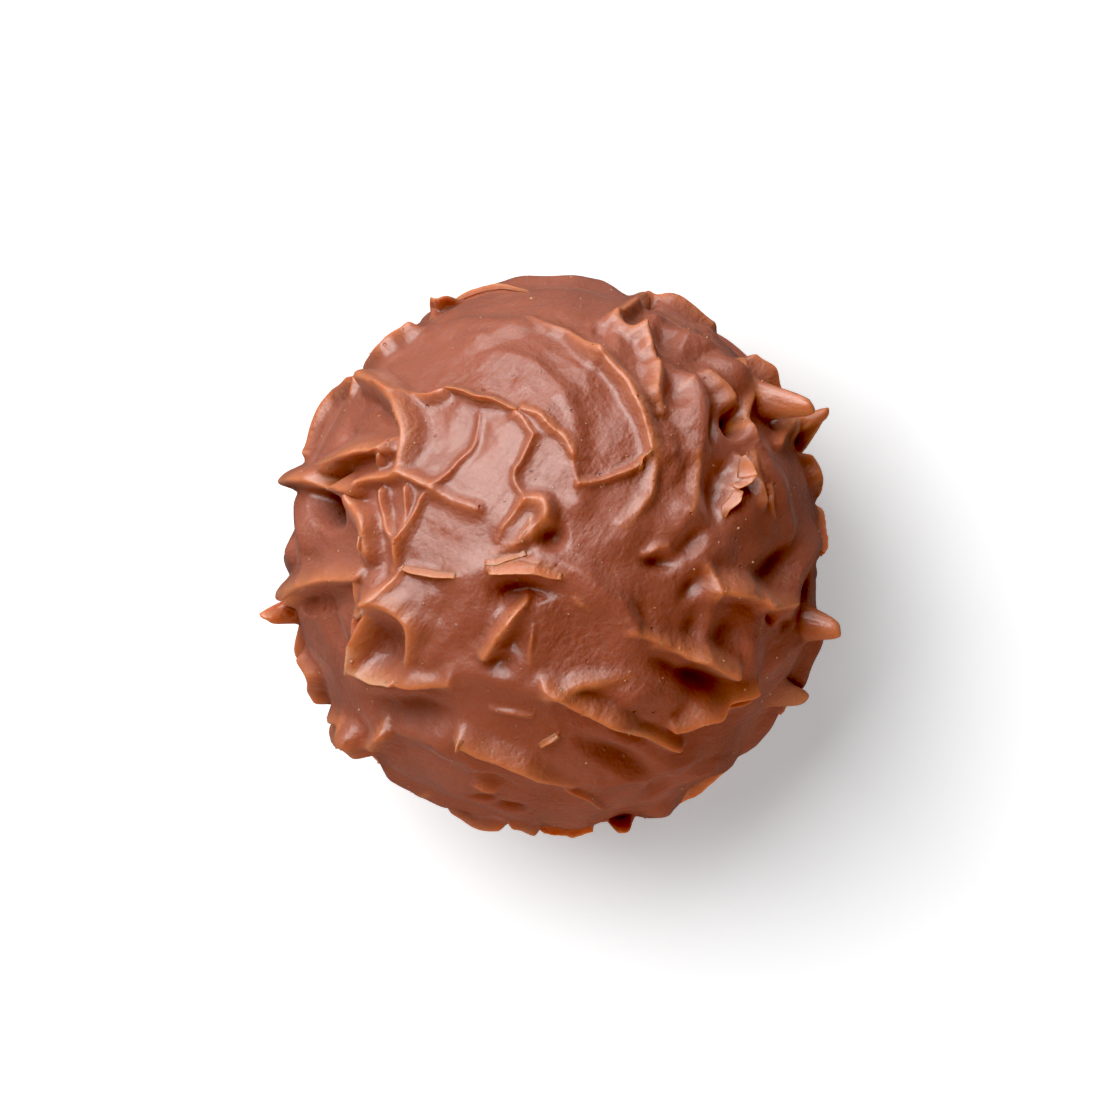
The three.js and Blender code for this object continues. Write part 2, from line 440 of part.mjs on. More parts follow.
// The points after drawing each towards the middle of its neighbours, as soft chocolate rounds off
function softened(points, corners) {
  const sums = points.map(() => new THREE.Vector3());
  const counts = new Array(points.length).fill(0);
  for (let corner = 0; corner < corners.length; corner++) {
    const after = corner % 3 === 2 ? corner - 2 : corner + 1;
    sums[corners[corner]].add(points[corners[after]]);
    counts[corners[corner]] += 1;
  }
  return points.map((point, index) => point.clone().lerp(sums[index].divideScalar(counts[index]), SOFTENING));
}

function lowerSpot(number) {
  const height = between([LOWER_TOP, LOWER_BOTTOM], (number + 0.5) / LOWER_CRAGS);
  const turn = number * GOLDEN_ANGLE;
  const girth = Math.sqrt(1 - height * height);
  return new THREE.Vector3(girth * Math.cos(turn), girth * Math.sin(turn), height);
}

function lowerCrag(number, spot) {
  const length = between(LOWER_LENGTH, chance(number, 1));
  const below = THREE.MathUtils.clamp((LOWER_TOP - spot.z) / (LOWER_TOP - FULL_BELOW), 0, 1);
  const rise = between(LOWER_HEIGHT, chance(number, 2)) * between([GIRTH_SHARE, 1], below);
  const bow = LOWER_BOW * (2 * chance(number, 3) - 1);
  const lean = LOWER_LEAN * (2 * chance(number, 4) - 1);
  const kind = LOWER_KINDS[number % LOWER_KINDS.length];
  const ends = [rise * chance(number, 5), rise * chance(number, 6)];
  const row = [kind, -length / 2, 0, length / 2, 0, bow, ends[0], rise, ends[1], lean];
  return makeCrag(row, seenFacing(spot, Math.PI * chance(number, 7)));
}

function makeForms() {
  const above = CRAGS_ABOVE.map((row) => makeCrag(row, seenFromAbove));
  const crags = [...above];
  for (let number = 0; number < LOWER_CRAGS; number++) {
    const spot = lowerSpot(number);
    const taken = above.some((crag) => (nearest(crag, spot)?.gap ?? Infinity) < LOWER_CLEARANCE);
    if (!taken) crags.push(lowerCrag(number, spot));
  }
  return { crags, spikes: SPIKES_ABOVE.map(makeSpike), scoops: SCOOPS_ABOVE.map(makeScoop) };
}

function makeSkin() {
  const forms = makeForms();
  const ball = new THREE.IcosahedronGeometry(1, SKIN_SPLITS);
  ball.deleteAttribute("normal");
  ball.deleteAttribute("uv");
  const skin = mergeVertices(ball);
  const place = skin.getAttribute("position");
  const points = [];
  for (let index = 0; index < place.count; index++) {
    const way = crowd(new THREE.Vector3().fromBufferAttribute(place, index).normalize());
    points.push(skinPoint(pinch(way, forms.crags, forms.spikes), forms));
  }
  const soft = softened(points, skin.getIndex().array);
  place.copyArray(soft.flatMap((point) => point.toArray()));
  skin.computeVertexNormals();
  return skin;
}

const truffle = new THREE.Mesh(
  makeSkin(),
  new THREE.MeshStandardMaterial({ color: CHOCOLATE, roughness: 0.45, metalness: 0 }),
);
truffle.name = "truffle";

const part = new THREE.Group();
part.add(truffle);

export default part;
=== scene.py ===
"""A milk chocolate truffle with a rough coating, seen from straight above on a white table."""
import math
from dataclasses import dataclass

import bmesh
import bpy
import numpy as np
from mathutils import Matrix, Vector


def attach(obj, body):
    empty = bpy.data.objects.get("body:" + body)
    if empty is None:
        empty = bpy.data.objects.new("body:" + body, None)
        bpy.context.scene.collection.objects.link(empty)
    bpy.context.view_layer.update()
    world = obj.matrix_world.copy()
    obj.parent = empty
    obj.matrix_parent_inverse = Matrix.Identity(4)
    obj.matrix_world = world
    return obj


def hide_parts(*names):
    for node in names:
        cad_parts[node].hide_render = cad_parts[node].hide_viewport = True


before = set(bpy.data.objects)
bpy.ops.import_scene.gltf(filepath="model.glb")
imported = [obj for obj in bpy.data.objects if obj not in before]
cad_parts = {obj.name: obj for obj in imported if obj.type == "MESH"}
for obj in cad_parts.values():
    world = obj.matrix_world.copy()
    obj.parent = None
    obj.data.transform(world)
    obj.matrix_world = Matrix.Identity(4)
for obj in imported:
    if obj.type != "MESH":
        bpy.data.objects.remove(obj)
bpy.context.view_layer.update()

MM = 0.001
SEED = 7

# The ball under its crags, in millimetres, as in the solid
BALL = np.array([13.1, 13.5, 13.0])
RADIUS = BALL.mean()
REST_RADIUS = 4.6  # of the flat spot
CENTRE_HEIGHT = BALL[2] * math.sqrt(1 - (REST_RADIUS / RADIUS) ** 2)

# The coating's skin, in millimetres
SKIN_CUTS = 98  # along each side of the icosahedron that the skin starts from
TOP_CROWDING = 0.8  # below 1 the skin's points crowd together towards the top, which shows most detail
PINCH_REACH = 0.8  # skin this near to a crest is drawn in towards it
PINCH_POWER = 1.6
SOFTENING = 2  # rounds of drawing each point of the skin towards its neighbours
SOFTENING_SHARE = 0.5
LUMP_HEIGHT = 0.12  # of the slow waves left by rolling
LUMP_TURNS = (5, 4, 4.5)  # of those waves across the ball each way, in radians to its radius
LUMP_SHIFTS = (1, 2, 0)
SAG_HEIGHT = 0.018  # of the soft unevenness, for each millimetre of its wave length
SAG_LENGTHS = (1.0, 4.5)
SAG_WAVES = 48
SCOOP_REACH = 1.5  # how far a hollow reaches, for each millimetre of its radius

# Crags
PATH_STEPS = 14  # straight stretches along each crag's crest
PATH_WAVER = 0.04  # of each wave in which a crest strays to the sides
PATH_TURNS = (1.3, 2.1, 3.4)  # of those waves, in radians to a millimetre
CRAG_REACH = 3.2  # beyond this distance a crag no longer marks the skin
CREST_POWER = 3  # how flat and steep-sided a crest is
CRAG_WIDTH = (0.5, 0.5)  # share of its kind's reach at no height, and what each millimetre of height adds
LEAST_HEIGHT = 0.05  # that a leaning crag is taken to have
UNDER_STEEPER = 0.4  # how much steeper a crag is on the side that it leans over
CHIPS = 64  # changes of height that are drawn for each crest
CHIP_LENGTH = 1.1  # from one such change to the next
# How thin a crest is drawn out also sets its painted glow of light shining through.
THIN_GAIN = 1.5  # how thin a crest is drawn out for each millimetre of its height
THIN_FADE = 0.3  # distance from the crest over which that fades
BROKEN_REACH = 0.09  # a broken crest is fully pale to half of this distance, and not at all beyond 1.5 of it

# Streaks that run along beside the crests
STREAKS = 4
STREAK_HEIGHT = 0.09
STREAK_LENGTHS = (0.25, 0.9)  # from one streak to the next
STREAK_SHIFT = 6  # most that a streak is shifted, in radians
STREAK_SLANT = 1.5  # how far it drifts aside from one end of the crest to the other, in radians
STREAK_FADING = 0.6  # least number of radians to a millimetre in which it comes and goes
STREAK_HOLD = 0.3  # the larger, the sooner the streaks fade away from the crests

# Thin flakes that stand on the coating
LEAF_DENSITY = 8  # cross-sections to a millimetre
LEAF_LEAST = 6  # cross-sections of the shortest flake
LEAF_STEPS = 8  # from root to edge
LEAF_ROOT = 0.3  # where a flake starts inside the coating, as a part of its height
LEAF_ENDS = 0.5  # height at its ends, as a part of the full one, which it has reached half a millimetre on
LEAF_EDGE = 0.07  # thickness at the broken edge
LEAF_SWELL = 0.6  # how much thicker it would be at no height
LEAF_TAPER = 1.5
LEAF_CHIPS = (0.9, 0.35)  # from one change of its height to the next, for large and small ones
LEAF_BARE_LENGTH = 0.7  # from one change between bare and covered edge to the next
LEAF_BARE = (0.2, 0.9)  # how bare the edge is on the whole, and how much that changes
LEAF_BARE_FROM = 0.8  # height above which an edge is bare, as a part of the full one

CRUMB_DENSITY = 70000  # to a square metre
CRUMB_CROWDING = 6  # how many more there are where the coating is drawn out thin
CRUMB_SIZE = 0.1  # half-width of the largest
CRUMB_SHARES = ((0.35, 0.35, 0.25), (1.0, 1.0, 0.7))  # of that size, in the smallest and the largest crumb
CRUMB_FLOOR = 1  # none lie lower than this
CRUMB_DRIFT = 1.0  # how strongly their colour changes from patch to patch

CHOCOLATE = (0.36, 0.107, 0.062, 1)
# Painted glow: a paler orange where light would shine through thin crests, spikes and flake edges
PAINTED_GLOW_CHOCOLATE = (0.62, 0.205, 0.075, 1)
# Painted shade: a darker brown for the shade inside deep hollows
PAINTED_SHADE_CHOCOLATE = (0.13, 0.041, 0.027, 1)
BROKEN_CHOCOLATE = (0.58, 0.32, 0.19, 1)
SPECK_CHOCOLATE = (0.55, 0.30, 0.17, 1)
PAINTED_SHADE_DEPTHS = (0.35, 1.3)  # depths of hollow from which painted shade darkens the chocolate, and where it is darkest

# Tints over the chocolate, one after the other. Each row is the value of the points that says where the tint
# lies, its colour, and its share where that value is 1.
# The deep tint is painted shade in the hollows; the thin tint is a painted glow of light shining through thin
# chocolate.
COATING_TINTS = [
    ("deep", PAINTED_SHADE_CHOCOLATE, 0.9),
    ("thin", PAINTED_GLOW_CHOCOLATE, 0.8),
    ("broken", BROKEN_CHOCOLATE, 0.7),
]
# On the flakes, the thin tint is a painted glow of light shining through them towards their edges.
FLAKE_TINTS = [
    ("thin", PAINTED_GLOW_CHOCOLATE, 0.8),
    ("broken", BROKEN_CHOCOLATE, 0.8),
]
CHOCOLATE_FINISH = {
    "Specular IOR Level": 0.85,
    "Specular Tint": (1, 0.99, 0.96, 1),
    "Subsurface Weight": 0.4,
    "Subsurface Radius": (1.0, 0.3, 0.1),
    "Subsurface Scale": 0.0008,
    "Coat Roughness": 0.16,
    "Sheen Weight": 0.06,
    "Sheen Roughness": 0.5,
}
COATING_GLOSS = 0.65
FLAKE_GLOSS = 0.5

# The chocolate's grain. Each scale is about how many marks of a kind there are to a metre. Fields are areas
# that have more or fewer of a kind. A range is the noise at which a kind shows least, and at which most.
PATCH_SCALE = 260.0
PATCH_RANGE = (0.35, 0.7)
PATCH_DRIFT = 0.5  # how strongly the patches show
PATCH_VALUE = 0.72  # brightness of the darkest
PATCH_SATURATION = 1.06
SPECK_SCALE = 900.0
SPECK_SIZE = 0.09  # as a part of the way from one to the next
SPECK_FIELDS = 150.0
SPECK_RANGE = (0.45, 0.6)
SPECK_STRENGTH = 0.7
PIT_SCALE = 620.0
PIT_SIZE = 0.07
DOT_CORE = 0.4  # part of a speck or pit that is at its full strength
PIMPLE_SCALE = 1700.0
PIMPLE_FIELDS = 200.0
PIMPLE_RANGE = (0.4, 0.65)
PIMPLE_STRENGTHS = (0.4, 1.3)
SCRATCH_SCALE = 2600.0
SCRATCH_TURN = math.radians(55)
SCRATCH_STRETCH = (5, 1, 1)
SCRATCH_FIELDS = 140.0
SCRATCH_RANGE = (0.42, 0.6)
SCRATCH_STRENGTH = 0.6
FINE_SCALE = 5200.0
FINE_RANGE = (0.3, 0.7)
FINE_STRENGTH = 0.35
FINE_ROUGHNESS = (0.46, 0.64)
GRAIN_DEPTH = 0.00012

# The picture, in metres and watts
FRAME_WIDTH = 0.055
CAMERA_DISTANCE = 0.6
CAMERA_SPOT = (-0.0003, 0.0003)
CAMERA_CLIP = (0.01, 10)
TABLE_HALF = 1.5
TABLE_FINISH = {
    "Base Color": (0.95, 0.95, 0.95, 1),
    "Roughness": 0.8,
    "Emission Color": (0.96, 0.99, 1, 1),
    "Emission Strength": 0.4,
}
ROOM_LIGHT = 0.03
LIGHT_TARGET = (0, 0, 0.012)
BLACK_LEVEL = 0.027

# Softboxes. Each row is a name, the side, the power, the place, whether it is mirrored in the gloss, and what
# it lights.
SOFTBOXES = [
    ("main_softbox", 0.55, 3.5, (-0.29, 0.27, 0.44), True, "truffle"),
    ("far_softbox", 0.8, 4.0, (-0.16, 0.6, 0.33), True, "truffle"),
    ("front_softbox", 0.5, 2.1, (0.05, -0.5, 0.25), False, "truffle"),
    ("table_softbox", 0.4, 3.9, (-0.23, 0.18, 0.53), False, "table"),
]


@dataclass(frozen=True)
class Section:
    """A crag's cross-section: its crest's share of the height, how far that crest and the slope under it
    reach to each side, the radius along the top of the slope, how uneven the crest is, how much of the height
    the coating itself rises, where the rest stands on it as a piece of its own, and how pale and broken the
    crest is."""

    thin: float
    edge: float
    flank: float
    round: float
    uneven: float
    rise: float = 1.0
    broken: float = 0.0


RIDGE = Section(0.75, 0.66, 1.15, 0.3, 0.05)
FIN = Section(0.85, 0.46, 0.9, 0.2, 0.07)
FLAKE = Section(0.7, 0.36, 0.7, 0.1, 0.12, 0.6)
FOLD = Section(0.0, 1.0, 1.8, 0.5, 0.0)
LINE = Section(0.85, 0.32, 0.8, 0.12, 0.12)
RIM = Section(0.85, 0.36, 0.8, 0.12, 0.2, broken=1.0)
KNOB = Section(0.0, 1.0, 1.2, 0.5, 0.0)

# Crags that show from above. Each row is a kind, where the crest shows at its start and end, its bow, which
# is how far its middle stands off the straight line, its height at the start, middle and end, and its lean
# for each millimetre of height. Bow and lean are positive to the left of the way from start to end.
CRAGS_ABOVE = [
    # far left edge
    (LINE, -6.1, 12.8, -6.2, 12.0, 0.0, 0.4, 0.4, 0.2, 0.0),
    (FIN, -7.4, 11.7, -9.7, 9.5, -0.1, 0.9, 0.7, 0.3, 0.0),
    (FIN, -10.4, 8.9, -12.7, 5.2, -0.6, 0.7, 0.8, 0.6, 0.0),
    # left crescent
    (RIDGE, -10.1, 9.1, -7.9, 4.3, 1.2, 1.1, 1.1, 0.6, -0.25),
    (LINE, -10.1, 9.0, -10.4, 7.7, 0.0, 0.6, 0.4, 0.15, 0.0),
    (FIN, -8.7, 8.6, -5.7, 8.3, -0.45, 0.7, 0.4, 0.6, 0.0),
    (RIDGE, -12.0, 4.35, -8.8, 5.1, 0.3, 0.8, 1.3, 1.0, -0.6),
    (FIN, -8.75, 4.9, -7.9, 5.75, 0.15, 0.8, 0.7, 0.4, -0.3),
    # crown
    (FOLD, -7.0, 11.3, -2.2, 11.65, 0.1, 0.15, 0.3, 0.4, 0.0),
    (FOLD, -4.9, 10.75, -2.4, 11.2, -0.05, 0.1, 0.3, 0.15, 0.0),
    (RIDGE, -1.4, 11.8, 2.1, 10.05, 0.2, 0.1, 0.45, 0.9, -0.1),
    (RIDGE, 2.1, 10.05, 4.7, 5.4, 0.55, 0.9, 1.0, 0.8, -0.3),
    (FOLD, -3.0, 10.1, 0.4, 7.9, 0.45, 0.2, 0.4, 0.5, 0.2),
    (FOLD, 0.4, 7.9, 0.9, 4.5, 0.35, 0.5, 0.45, 0.2, 0.2),
    (FOLD, -1.4, 8.5, 0.3, 6.0, 0.1, 0.3, 0.4, 0.2, 0.0),
    (FLAKE, -5.6, 8.4, -2.0, 7.15, 0.1, 0.5, 0.7, 0.5, -0.3),
    (FIN, -1.7, 7.3, 0.8, 5.0, 0.35, 0.5, 0.6, 0.5, -0.2),
    (FIN, 0.8, 5.0, 1.05, 3.5, 0.0, 0.25, 0.2, 0.2, 0.0),
    (FIN, -2.0, 7.1, -1.1, 5.9, 0.1, 0.45, 0.35, 0.3, 0.1),
    (FIN, -1.1, 5.9, -2.0, 4.2, 0.0, 0.3, 0.28, 0.22, 0.1),
    (FIN, -2.0, 4.3, -1.7, 3.1, -0.15, 0.22, 0.25, 0.25, 0.0),
    (LINE, -3.8, 7.0, -6.2, 3.5, 0.5, 0.12, 0.28, 0.35, 0.1),
    # upper right
    (RIDGE, 2.9, 11.9, 4.7, 13.3, 0.0, 0.6, 0.6, 0.6, -0.3),
    (RIDGE, 3.0, 12.1, 4.4, 11.4, -0.45, 0.6, 0.5, 0.9, 0.1),
    (FIN, 4.45, 11.4, 4.9, 9.8, 0.0, 0.9, 0.8, 0.5, 0.2),
    (RIDGE, 5.15, 9.6, 5.25, 7.2, -0.1, 0.8, 0.8, 0.4, 0.1),
    (FOLD, 2.7, 11.3, 2.8, 10.3, 0.0, 0.2, 0.3, 0.2, 0.0),
    (RIDGE, 4.7, 13.3, 7.95, 11.9, 0.3, 0.6, 0.9, 0.9, 0.0),
    (FOLD, 5.2, 12.05, 6.6, 11.1, 0.0, 0.5, 0.6, 0.4, -0.3),
    (FOLD, 6.3, 11.1, 9.3, 9.5, 0.2, 0.5, 0.7, 1.2, 0.0),
    (RIDGE, 9.4, 9.8, 9.45, 8.2, 0.0, 0.7, 0.6, 0.4, 0.0),
    (RIDGE, 9.8, 8.0, 9.8, 6.2, -0.2, 0.5, 0.6, 0.5, 0.1),
    (FOLD, 9.85, 6.2, 11.8, 1.6, 0.2, 0.7, 0.7, 0.4, 0.0),
    (FIN, 12.8, 7.1, 11.3, 5.7, -0.4, 0.8, 0.8, 0.5, -0.1),
    (FIN, 10.2, 10.2, 11.9, 8.7, 0.4, 0.9, 1.2, 0.7, 0.0),
    (RIDGE, 12.0, 6.2, 13.2, 6.15, 0.25, 0.5, 0.6, 0.4, -0.3),
    (FOLD, 6.9, 8.8, 7.1, 5.4, 0.4, 0.8, 0.9, 0.6, 0.1),
    (LINE, 6.1, 8.3, 6.65, 8.75, -0.1, 0.2, 0.3, 0.2, 0.0),
    (RIDGE, 7.7, 9.2, 8.95, 7.9, 0.1, 0.5, 0.7, 0.8, 0.2),
    (FIN, 9.1, 7.8, 9.8, 5.9, 0.1, 0.6, 0.6, 0.4, 0.2),
    (FOLD, 5.6, 5.8, 5.9, 4.6, 0.0, 0.5, 0.7, 0.4, 0.0),
    # right
    (FLAKE, 9.5, 5.1, 9.1, 3.25, 0.55, 0.7, 1.2, 0.8, 0.3),
    (FLAKE, 9.35, 3.1, 8.45, 1.9, 0.0, 0.9, 0.7, 0.3, 0.3),
    (RIDGE, 9.9, 5.0, 10.35, 2.8, 0.0, 0.5, 0.7, 0.7, 0.1),
    (LINE, 10.65, 3.4, 10.75, 1.9, 0.0, 0.5, 0.5, 0.2, 0.0),
    (RIDGE, 7.0, 5.0, 6.7, 2.2, 0.2, 0.4, 0.45, 0.35, 0.2),
    (FOLD, 6.7, 2.3, 5.6, 1.3, 0.1, 0.5, 0.4, 0.2, 0.0),
    (FOLD, 9.0, 1.8, 10.5, 2.3, 0.25, 0.2, 0.4, 0.3, 0.0),
    (FOLD, 8.3, 0.5, 6.0, -1.2, -0.2, 0.2, 0.25, 0.1, 0.0),
    (RIDGE, 7.5, -0.6, 8.0, -1.9, 0.0, 0.4, 0.5, 0.7, 0.0),
    (RIDGE, 8.1, -1.9, 10.6, -2.5, 0.25, 0.9, 1.1, 1.0, -0.4),
    (RIDGE, 10.6, -2.5, 11.9, -2.4, -0.1, 1.0, 0.8, 0.6, -0.3),
    (FOLD, 11.8, -2.2, 13.2, 0.7, 0.1, 0.6, 0.55, 0.5, 0.0),
    (FOLD, 12.4, -4.2, 10.2, -6.0, 0.0, 0.5, 0.4, 0.2, 0.0),
    (FOLD, 13.5, -4.3, 12.6, -6.6, 0.0, 0.9, 0.8, 0.9, 0.0),
    (FOLD, 9.5, -3.3, 9.8, -6.0, 0.1, 0.4, 0.7, 0.5, 0.0),
    (FIN, 12.8, 5.0, 13.3, 3.2, 0.1, 0.7, 0.8, 0.5, 0.0),
    # middle
    (RIDGE, 5.0, 4.9, 3.4, 1.5, 0.45, 0.45, 0.4, 0.25, 0.2),
    (LINE, 1.1, 3.5, 4.1, 4.5, -0.2, 0.4, 0.35, 0.45, -0.2),
    (FOLD, 2.8, 0.6, 4.2, 1.7, 0.0, 0.2, 0.3, 0.2, 0.0),
    (FLAKE, 4.1, 4.3, 4.7, 5.1, 0.1, 0.4, 0.6, 0.5, 0.0),
    (KNOB, 1.35, 3.25, 1.2, 2.6, 0.0, 0.2, 0.15, 0.25, 0.0),
    (FIN, -2.9, 0.8, -1.5, 2.8, 0.1, 0.2, 0.35, 0.5, 0.0),
    (FOLD, -2.2, 1.0, -1.3, 1.9, 0.0, 0.3, 0.35, 0.3, 0.0),
    (RIDGE, -1.5, 2.8, -0.5, 1.8, 0.6, 0.6, 0.9, 0.8, 0.1),
    (RIDGE, -0.5, 1.8, -3.1, 0.1, 0.1, 0.8, 0.5, 0.2, 0.0),
    (LINE, -1.2, 1.9, -1.8, 0.85, 0.0, 0.4, 0.4, 0.3, 0.0),
    (FLAKE, -3.5, -0.5, -1.4, 0.0, -0.1, 0.3, 0.45, 0.3, -0.4),
    (FLAKE, -3.3, -1.05, 0.15, -1.4, 0.25, 0.8, 1.1, 0.7, -0.5),
    (FOLD, -0.8, -0.1, 4.0, -3.4, 0.4, 0.5, 0.8, 0.7, 0.2),
    (FIN, 3.6, -3.9, 5.6, -4.4, 0.1, 0.4, 0.5, 0.6, -0.2),
    (RIDGE, 5.0, -4.4, 8.9, -6.1, 0.15, 0.4, 0.8, 1.1, -0.3),
    (FIN, 6.4, -5.0, 9.0, -6.0, 0.1, 0.6, 1.1, 1.3, -0.3),
    (LINE, 0.9, -2.1, 1.6, -2.65, 0.0, 0.3, 0.3, 0.15, -0.1),
    (FIN, 4.4, 0.1, 5.5, 0.45, 0.0, 0.2, 0.3, 0.2, -0.4),
    (FIN, -1.5, -2.2, -3.6, -5.1, -0.05, 0.5, 1.0, 0.9, 0.1),
    (LINE, -1.1, -3.4, -1.3, -5.2, -0.05, 0.1, 0.3, 0.2, 0.0),
    # left
    (RIDGE, -14.0, 3.65, -10.3, 3.05, 0.3, 1.2, 0.9, 1.0, -0.4),
    (RIDGE, -10.45, 2.95, -9.35, 0.2, 0.2, 0.9, 1.2, 0.9, 0.2),
    (FLAKE, -9.25, 0.9, -9.6, 0.0, 0.1, 0.5, 0.6, 0.4, 0.2),
    (FIN, -9.8, 3.6, -6.2, 3.35, 0.45, 0.8, 0.7, 0.6, -0.3),
    (RIDGE, -6.2, 3.3, -4.0, 2.35, -0.1, 0.4, 0.28, 0.35, -0.1),
    (LINE, -8.75, 3.3, -8.05, 0.7, -0.2, 0.5, 0.45, 0.5, 0.0),
    (LINE, -7.5, 3.4, -7.75, 0.9, 0.1, 0.5, 0.4, 0.5, 0.0),
    (LINE, -6.6, 3.1, -7.7, 0.9, 0.0, 0.4, 0.4, 0.5, 0.0),
    (LINE, -7.85, 0.8, -8.05, -0.8, 0.0, 0.6, 0.6, 0.4, 0.0),
    (FOLD, -13.0, 2.6, -12.7, -0.2, -0.1, 0.5, 0.7, 0.4, 0.0),
    (KNOB, -13.4, 0.5, -13.5, -0.1, 0.0, 0.4, 0.6, 0.4, 0.0),
    (RIDGE, -9.95, -1.15, -14.0, -2.2, -0.35, 0.8, 0.9, 1.1, 0.35),
    (FIN, -9.95, -1.3, -10.1, -4.4, 0.0, 0.6, 0.5, 0.5, -0.1),
    (LINE, -13.4, -1.9, -13.6, -2.7, 0.0, 0.9, 0.7, 0.3, 0.0),
    (FLAKE, -7.6, -0.7, -4.95, -1.15, -0.05, 0.4, 0.5, 0.4, -0.3),
    (FOLD, -4.9, -1.15, -3.2, -0.5, 0.0, 0.3, 0.3, 0.3, 0.0),
    (FOLD, -4.3, -1.4, -6.3, -5.1, 0.4, 0.2, 0.3, 0.25, 0.0),
    # left cup
    (FIN, -9.4, -2.35, -7.7, -0.8, -0.15, 1.2, 0.8, 0.4, 0.0),
    (FOLD, -9.3, -2.4, -6.2, -2.25, 0.0, 1.1, 0.6, 0.15, 0.0),
    (FOLD, -9.2, -2.5, -5.6, -3.9, 0.2, 1.1, 0.6, 0.15, 0.0),
    (RIDGE, -9.2, -2.5, -7.5, -5.3, 0.95, 1.2, 0.9, 0.5, -0.25),
    (RIM, -9.4, -2.4, -9.75, -3.0, 0.0, 1.1, 0.7, 0.3, 0.0),
    (FIN, -9.75, -3.0, -10.5, -5.65, -0.1, 0.8, 0.9, 0.9, -0.2),
    (RIM, -10.15, -4.4, -10.45, -5.7, -0.1, 0.6, 0.9, 0.8, -0.3),
    (RIDGE, -10.1, -5.95, -5.3, -6.35, -0.3, 0.6, 0.8, 0.5, -0.3),
    (RIM, -10.1, -5.95, -8.3, -6.5, -0.1, 0.9, 1.0, 0.9, -0.4),
    (KNOB, -5.5, -6.3, -5.1, -6.3, 0.0, 0.5, 0.7, 0.5, 0.0),
    # near side
    (FOLD, -4.9, -5.6, -0.6, -6.7, 0.0, 0.35, 0.4, 0.5, 0.0),
    (FOLD, 2.5, -6.6, 5.6, -7.2, 0.0, 0.3, 0.65, 0.4, 0.0),
    (FOLD, -3.6, -5.35, -1.3, -5.25, -0.35, 0.35, 0.35, 0.3, 0.0),
    (FIN, -0.6, -6.6, 6.2, -9.7, -0.35, 1.0, 1.4, 0.6, -0.1),
    (RIDGE, -0.4, -6.9, 3.6, -5.8, -0.1, 0.8, 0.7, 0.2, 0.0),
    (FLAKE, -4.6, -8.7, -4.85, -9.4, 0.0, 0.4, 0.6, 0.8, -0.1),
    (RIDGE, -4.8, -9.4, 0.8, -11.4, -0.25, 1.0, 1.0, 0.3, -0.1),
    (LINE, 0.4, -11.5, 2.5, -12.7, 0.0, 0.3, 0.35, 0.2, 0.0),
    (LINE, -3.2, -7.5, -1.2, -7.85, -0.1, 0.1, 0.25, 0.2, 0.0),
    (FLAKE, -0.75, -9.45, 0.1, -8.85, 0.0, 0.4, 0.4, 0.3, 0.0),
    (FIN, -4.1, -11.5, -3.1, -11.75, 0.0, 0.3, 0.45, 0.3, -0.2),
    (KNOB, 4.9, -13.2, 6.0, -12.8, 0.0, 0.6, 0.8, 0.6, 0.0),
    (FIN, 6.0, -8.85, 10.1, -6.95, -0.25, 0.9, 1.35, 1.0, -0.35),
    (FIN, 6.7, -7.65, 9.7, -7.2, -0.2, 0.3, 0.5, 0.5, 0.0),
    (FOLD, 2.1, -11.3, 6.6, -10.3, -0.2, 0.3, 0.55, 0.3, 0.0),
    (RIDGE, -11.6, -9.2, -10.2, -10.0, 0.0, 1.2, 1.6, 1.2, 0.0),
    (FIN, -11.4, -8.3, -10.3, -8.5, 0.0, 0.9, 0.7, 0.4, -0.2),
    (FIN, -12.9, -5.2, -12.1, -7.4, 0.0, 0.8, 0.9, 0.9, 0.0),
    (RIDGE, -9.4, -9.7, -8.7, -8.5, 0.0, 0.7, 0.9, 0.4, 0.0),
    (FOLD, -7.9, -8.7, -4.2, -10.4, 0.1, 0.5, 0.7, 0.4, 0.0),
    (FOLD, 7.2, -11.0, 8.5, -10.6, 0.0, 0.4, 0.5, 0.3, 0.0),
    (FOLD, 10.3, -9.6, 11.6, -8.1, 0.0, 0.5, 0.6, 0.5, 0.0),
]

# Spikes drawn out of the coating. Each row is where the spike starts and where its tip shows from above, the
# tip's height over the ball and the radius of the spike's foot.
SPIKES_ABOVE = [
    (-5.4, 12.5, -5.8, 12.9, 0.8, 1.0),
    (9.9, 7.7, 12.7, 7.35, 2.7, 1.2),
    (12.4, 6.3, 13.8, 7.2, 1.7, 0.8),
    (12.7, 5.6, 13.9, 6.5, 1.7, 0.8),
    (12.2, -3.2, 13.9, -3.6, 2.0, 1.05),
    (-13.0, -2.7, -14.3, -3.1, 1.6, 0.8),
    (11.0, -6.9, 12.7, -7.3, 1.4, 1.0),
    (3.2, -13.2, 3.4, -13.9, 0.9, 0.85),
]
SPIKE_POWER = 3.5  # how blunt a spike's tip is

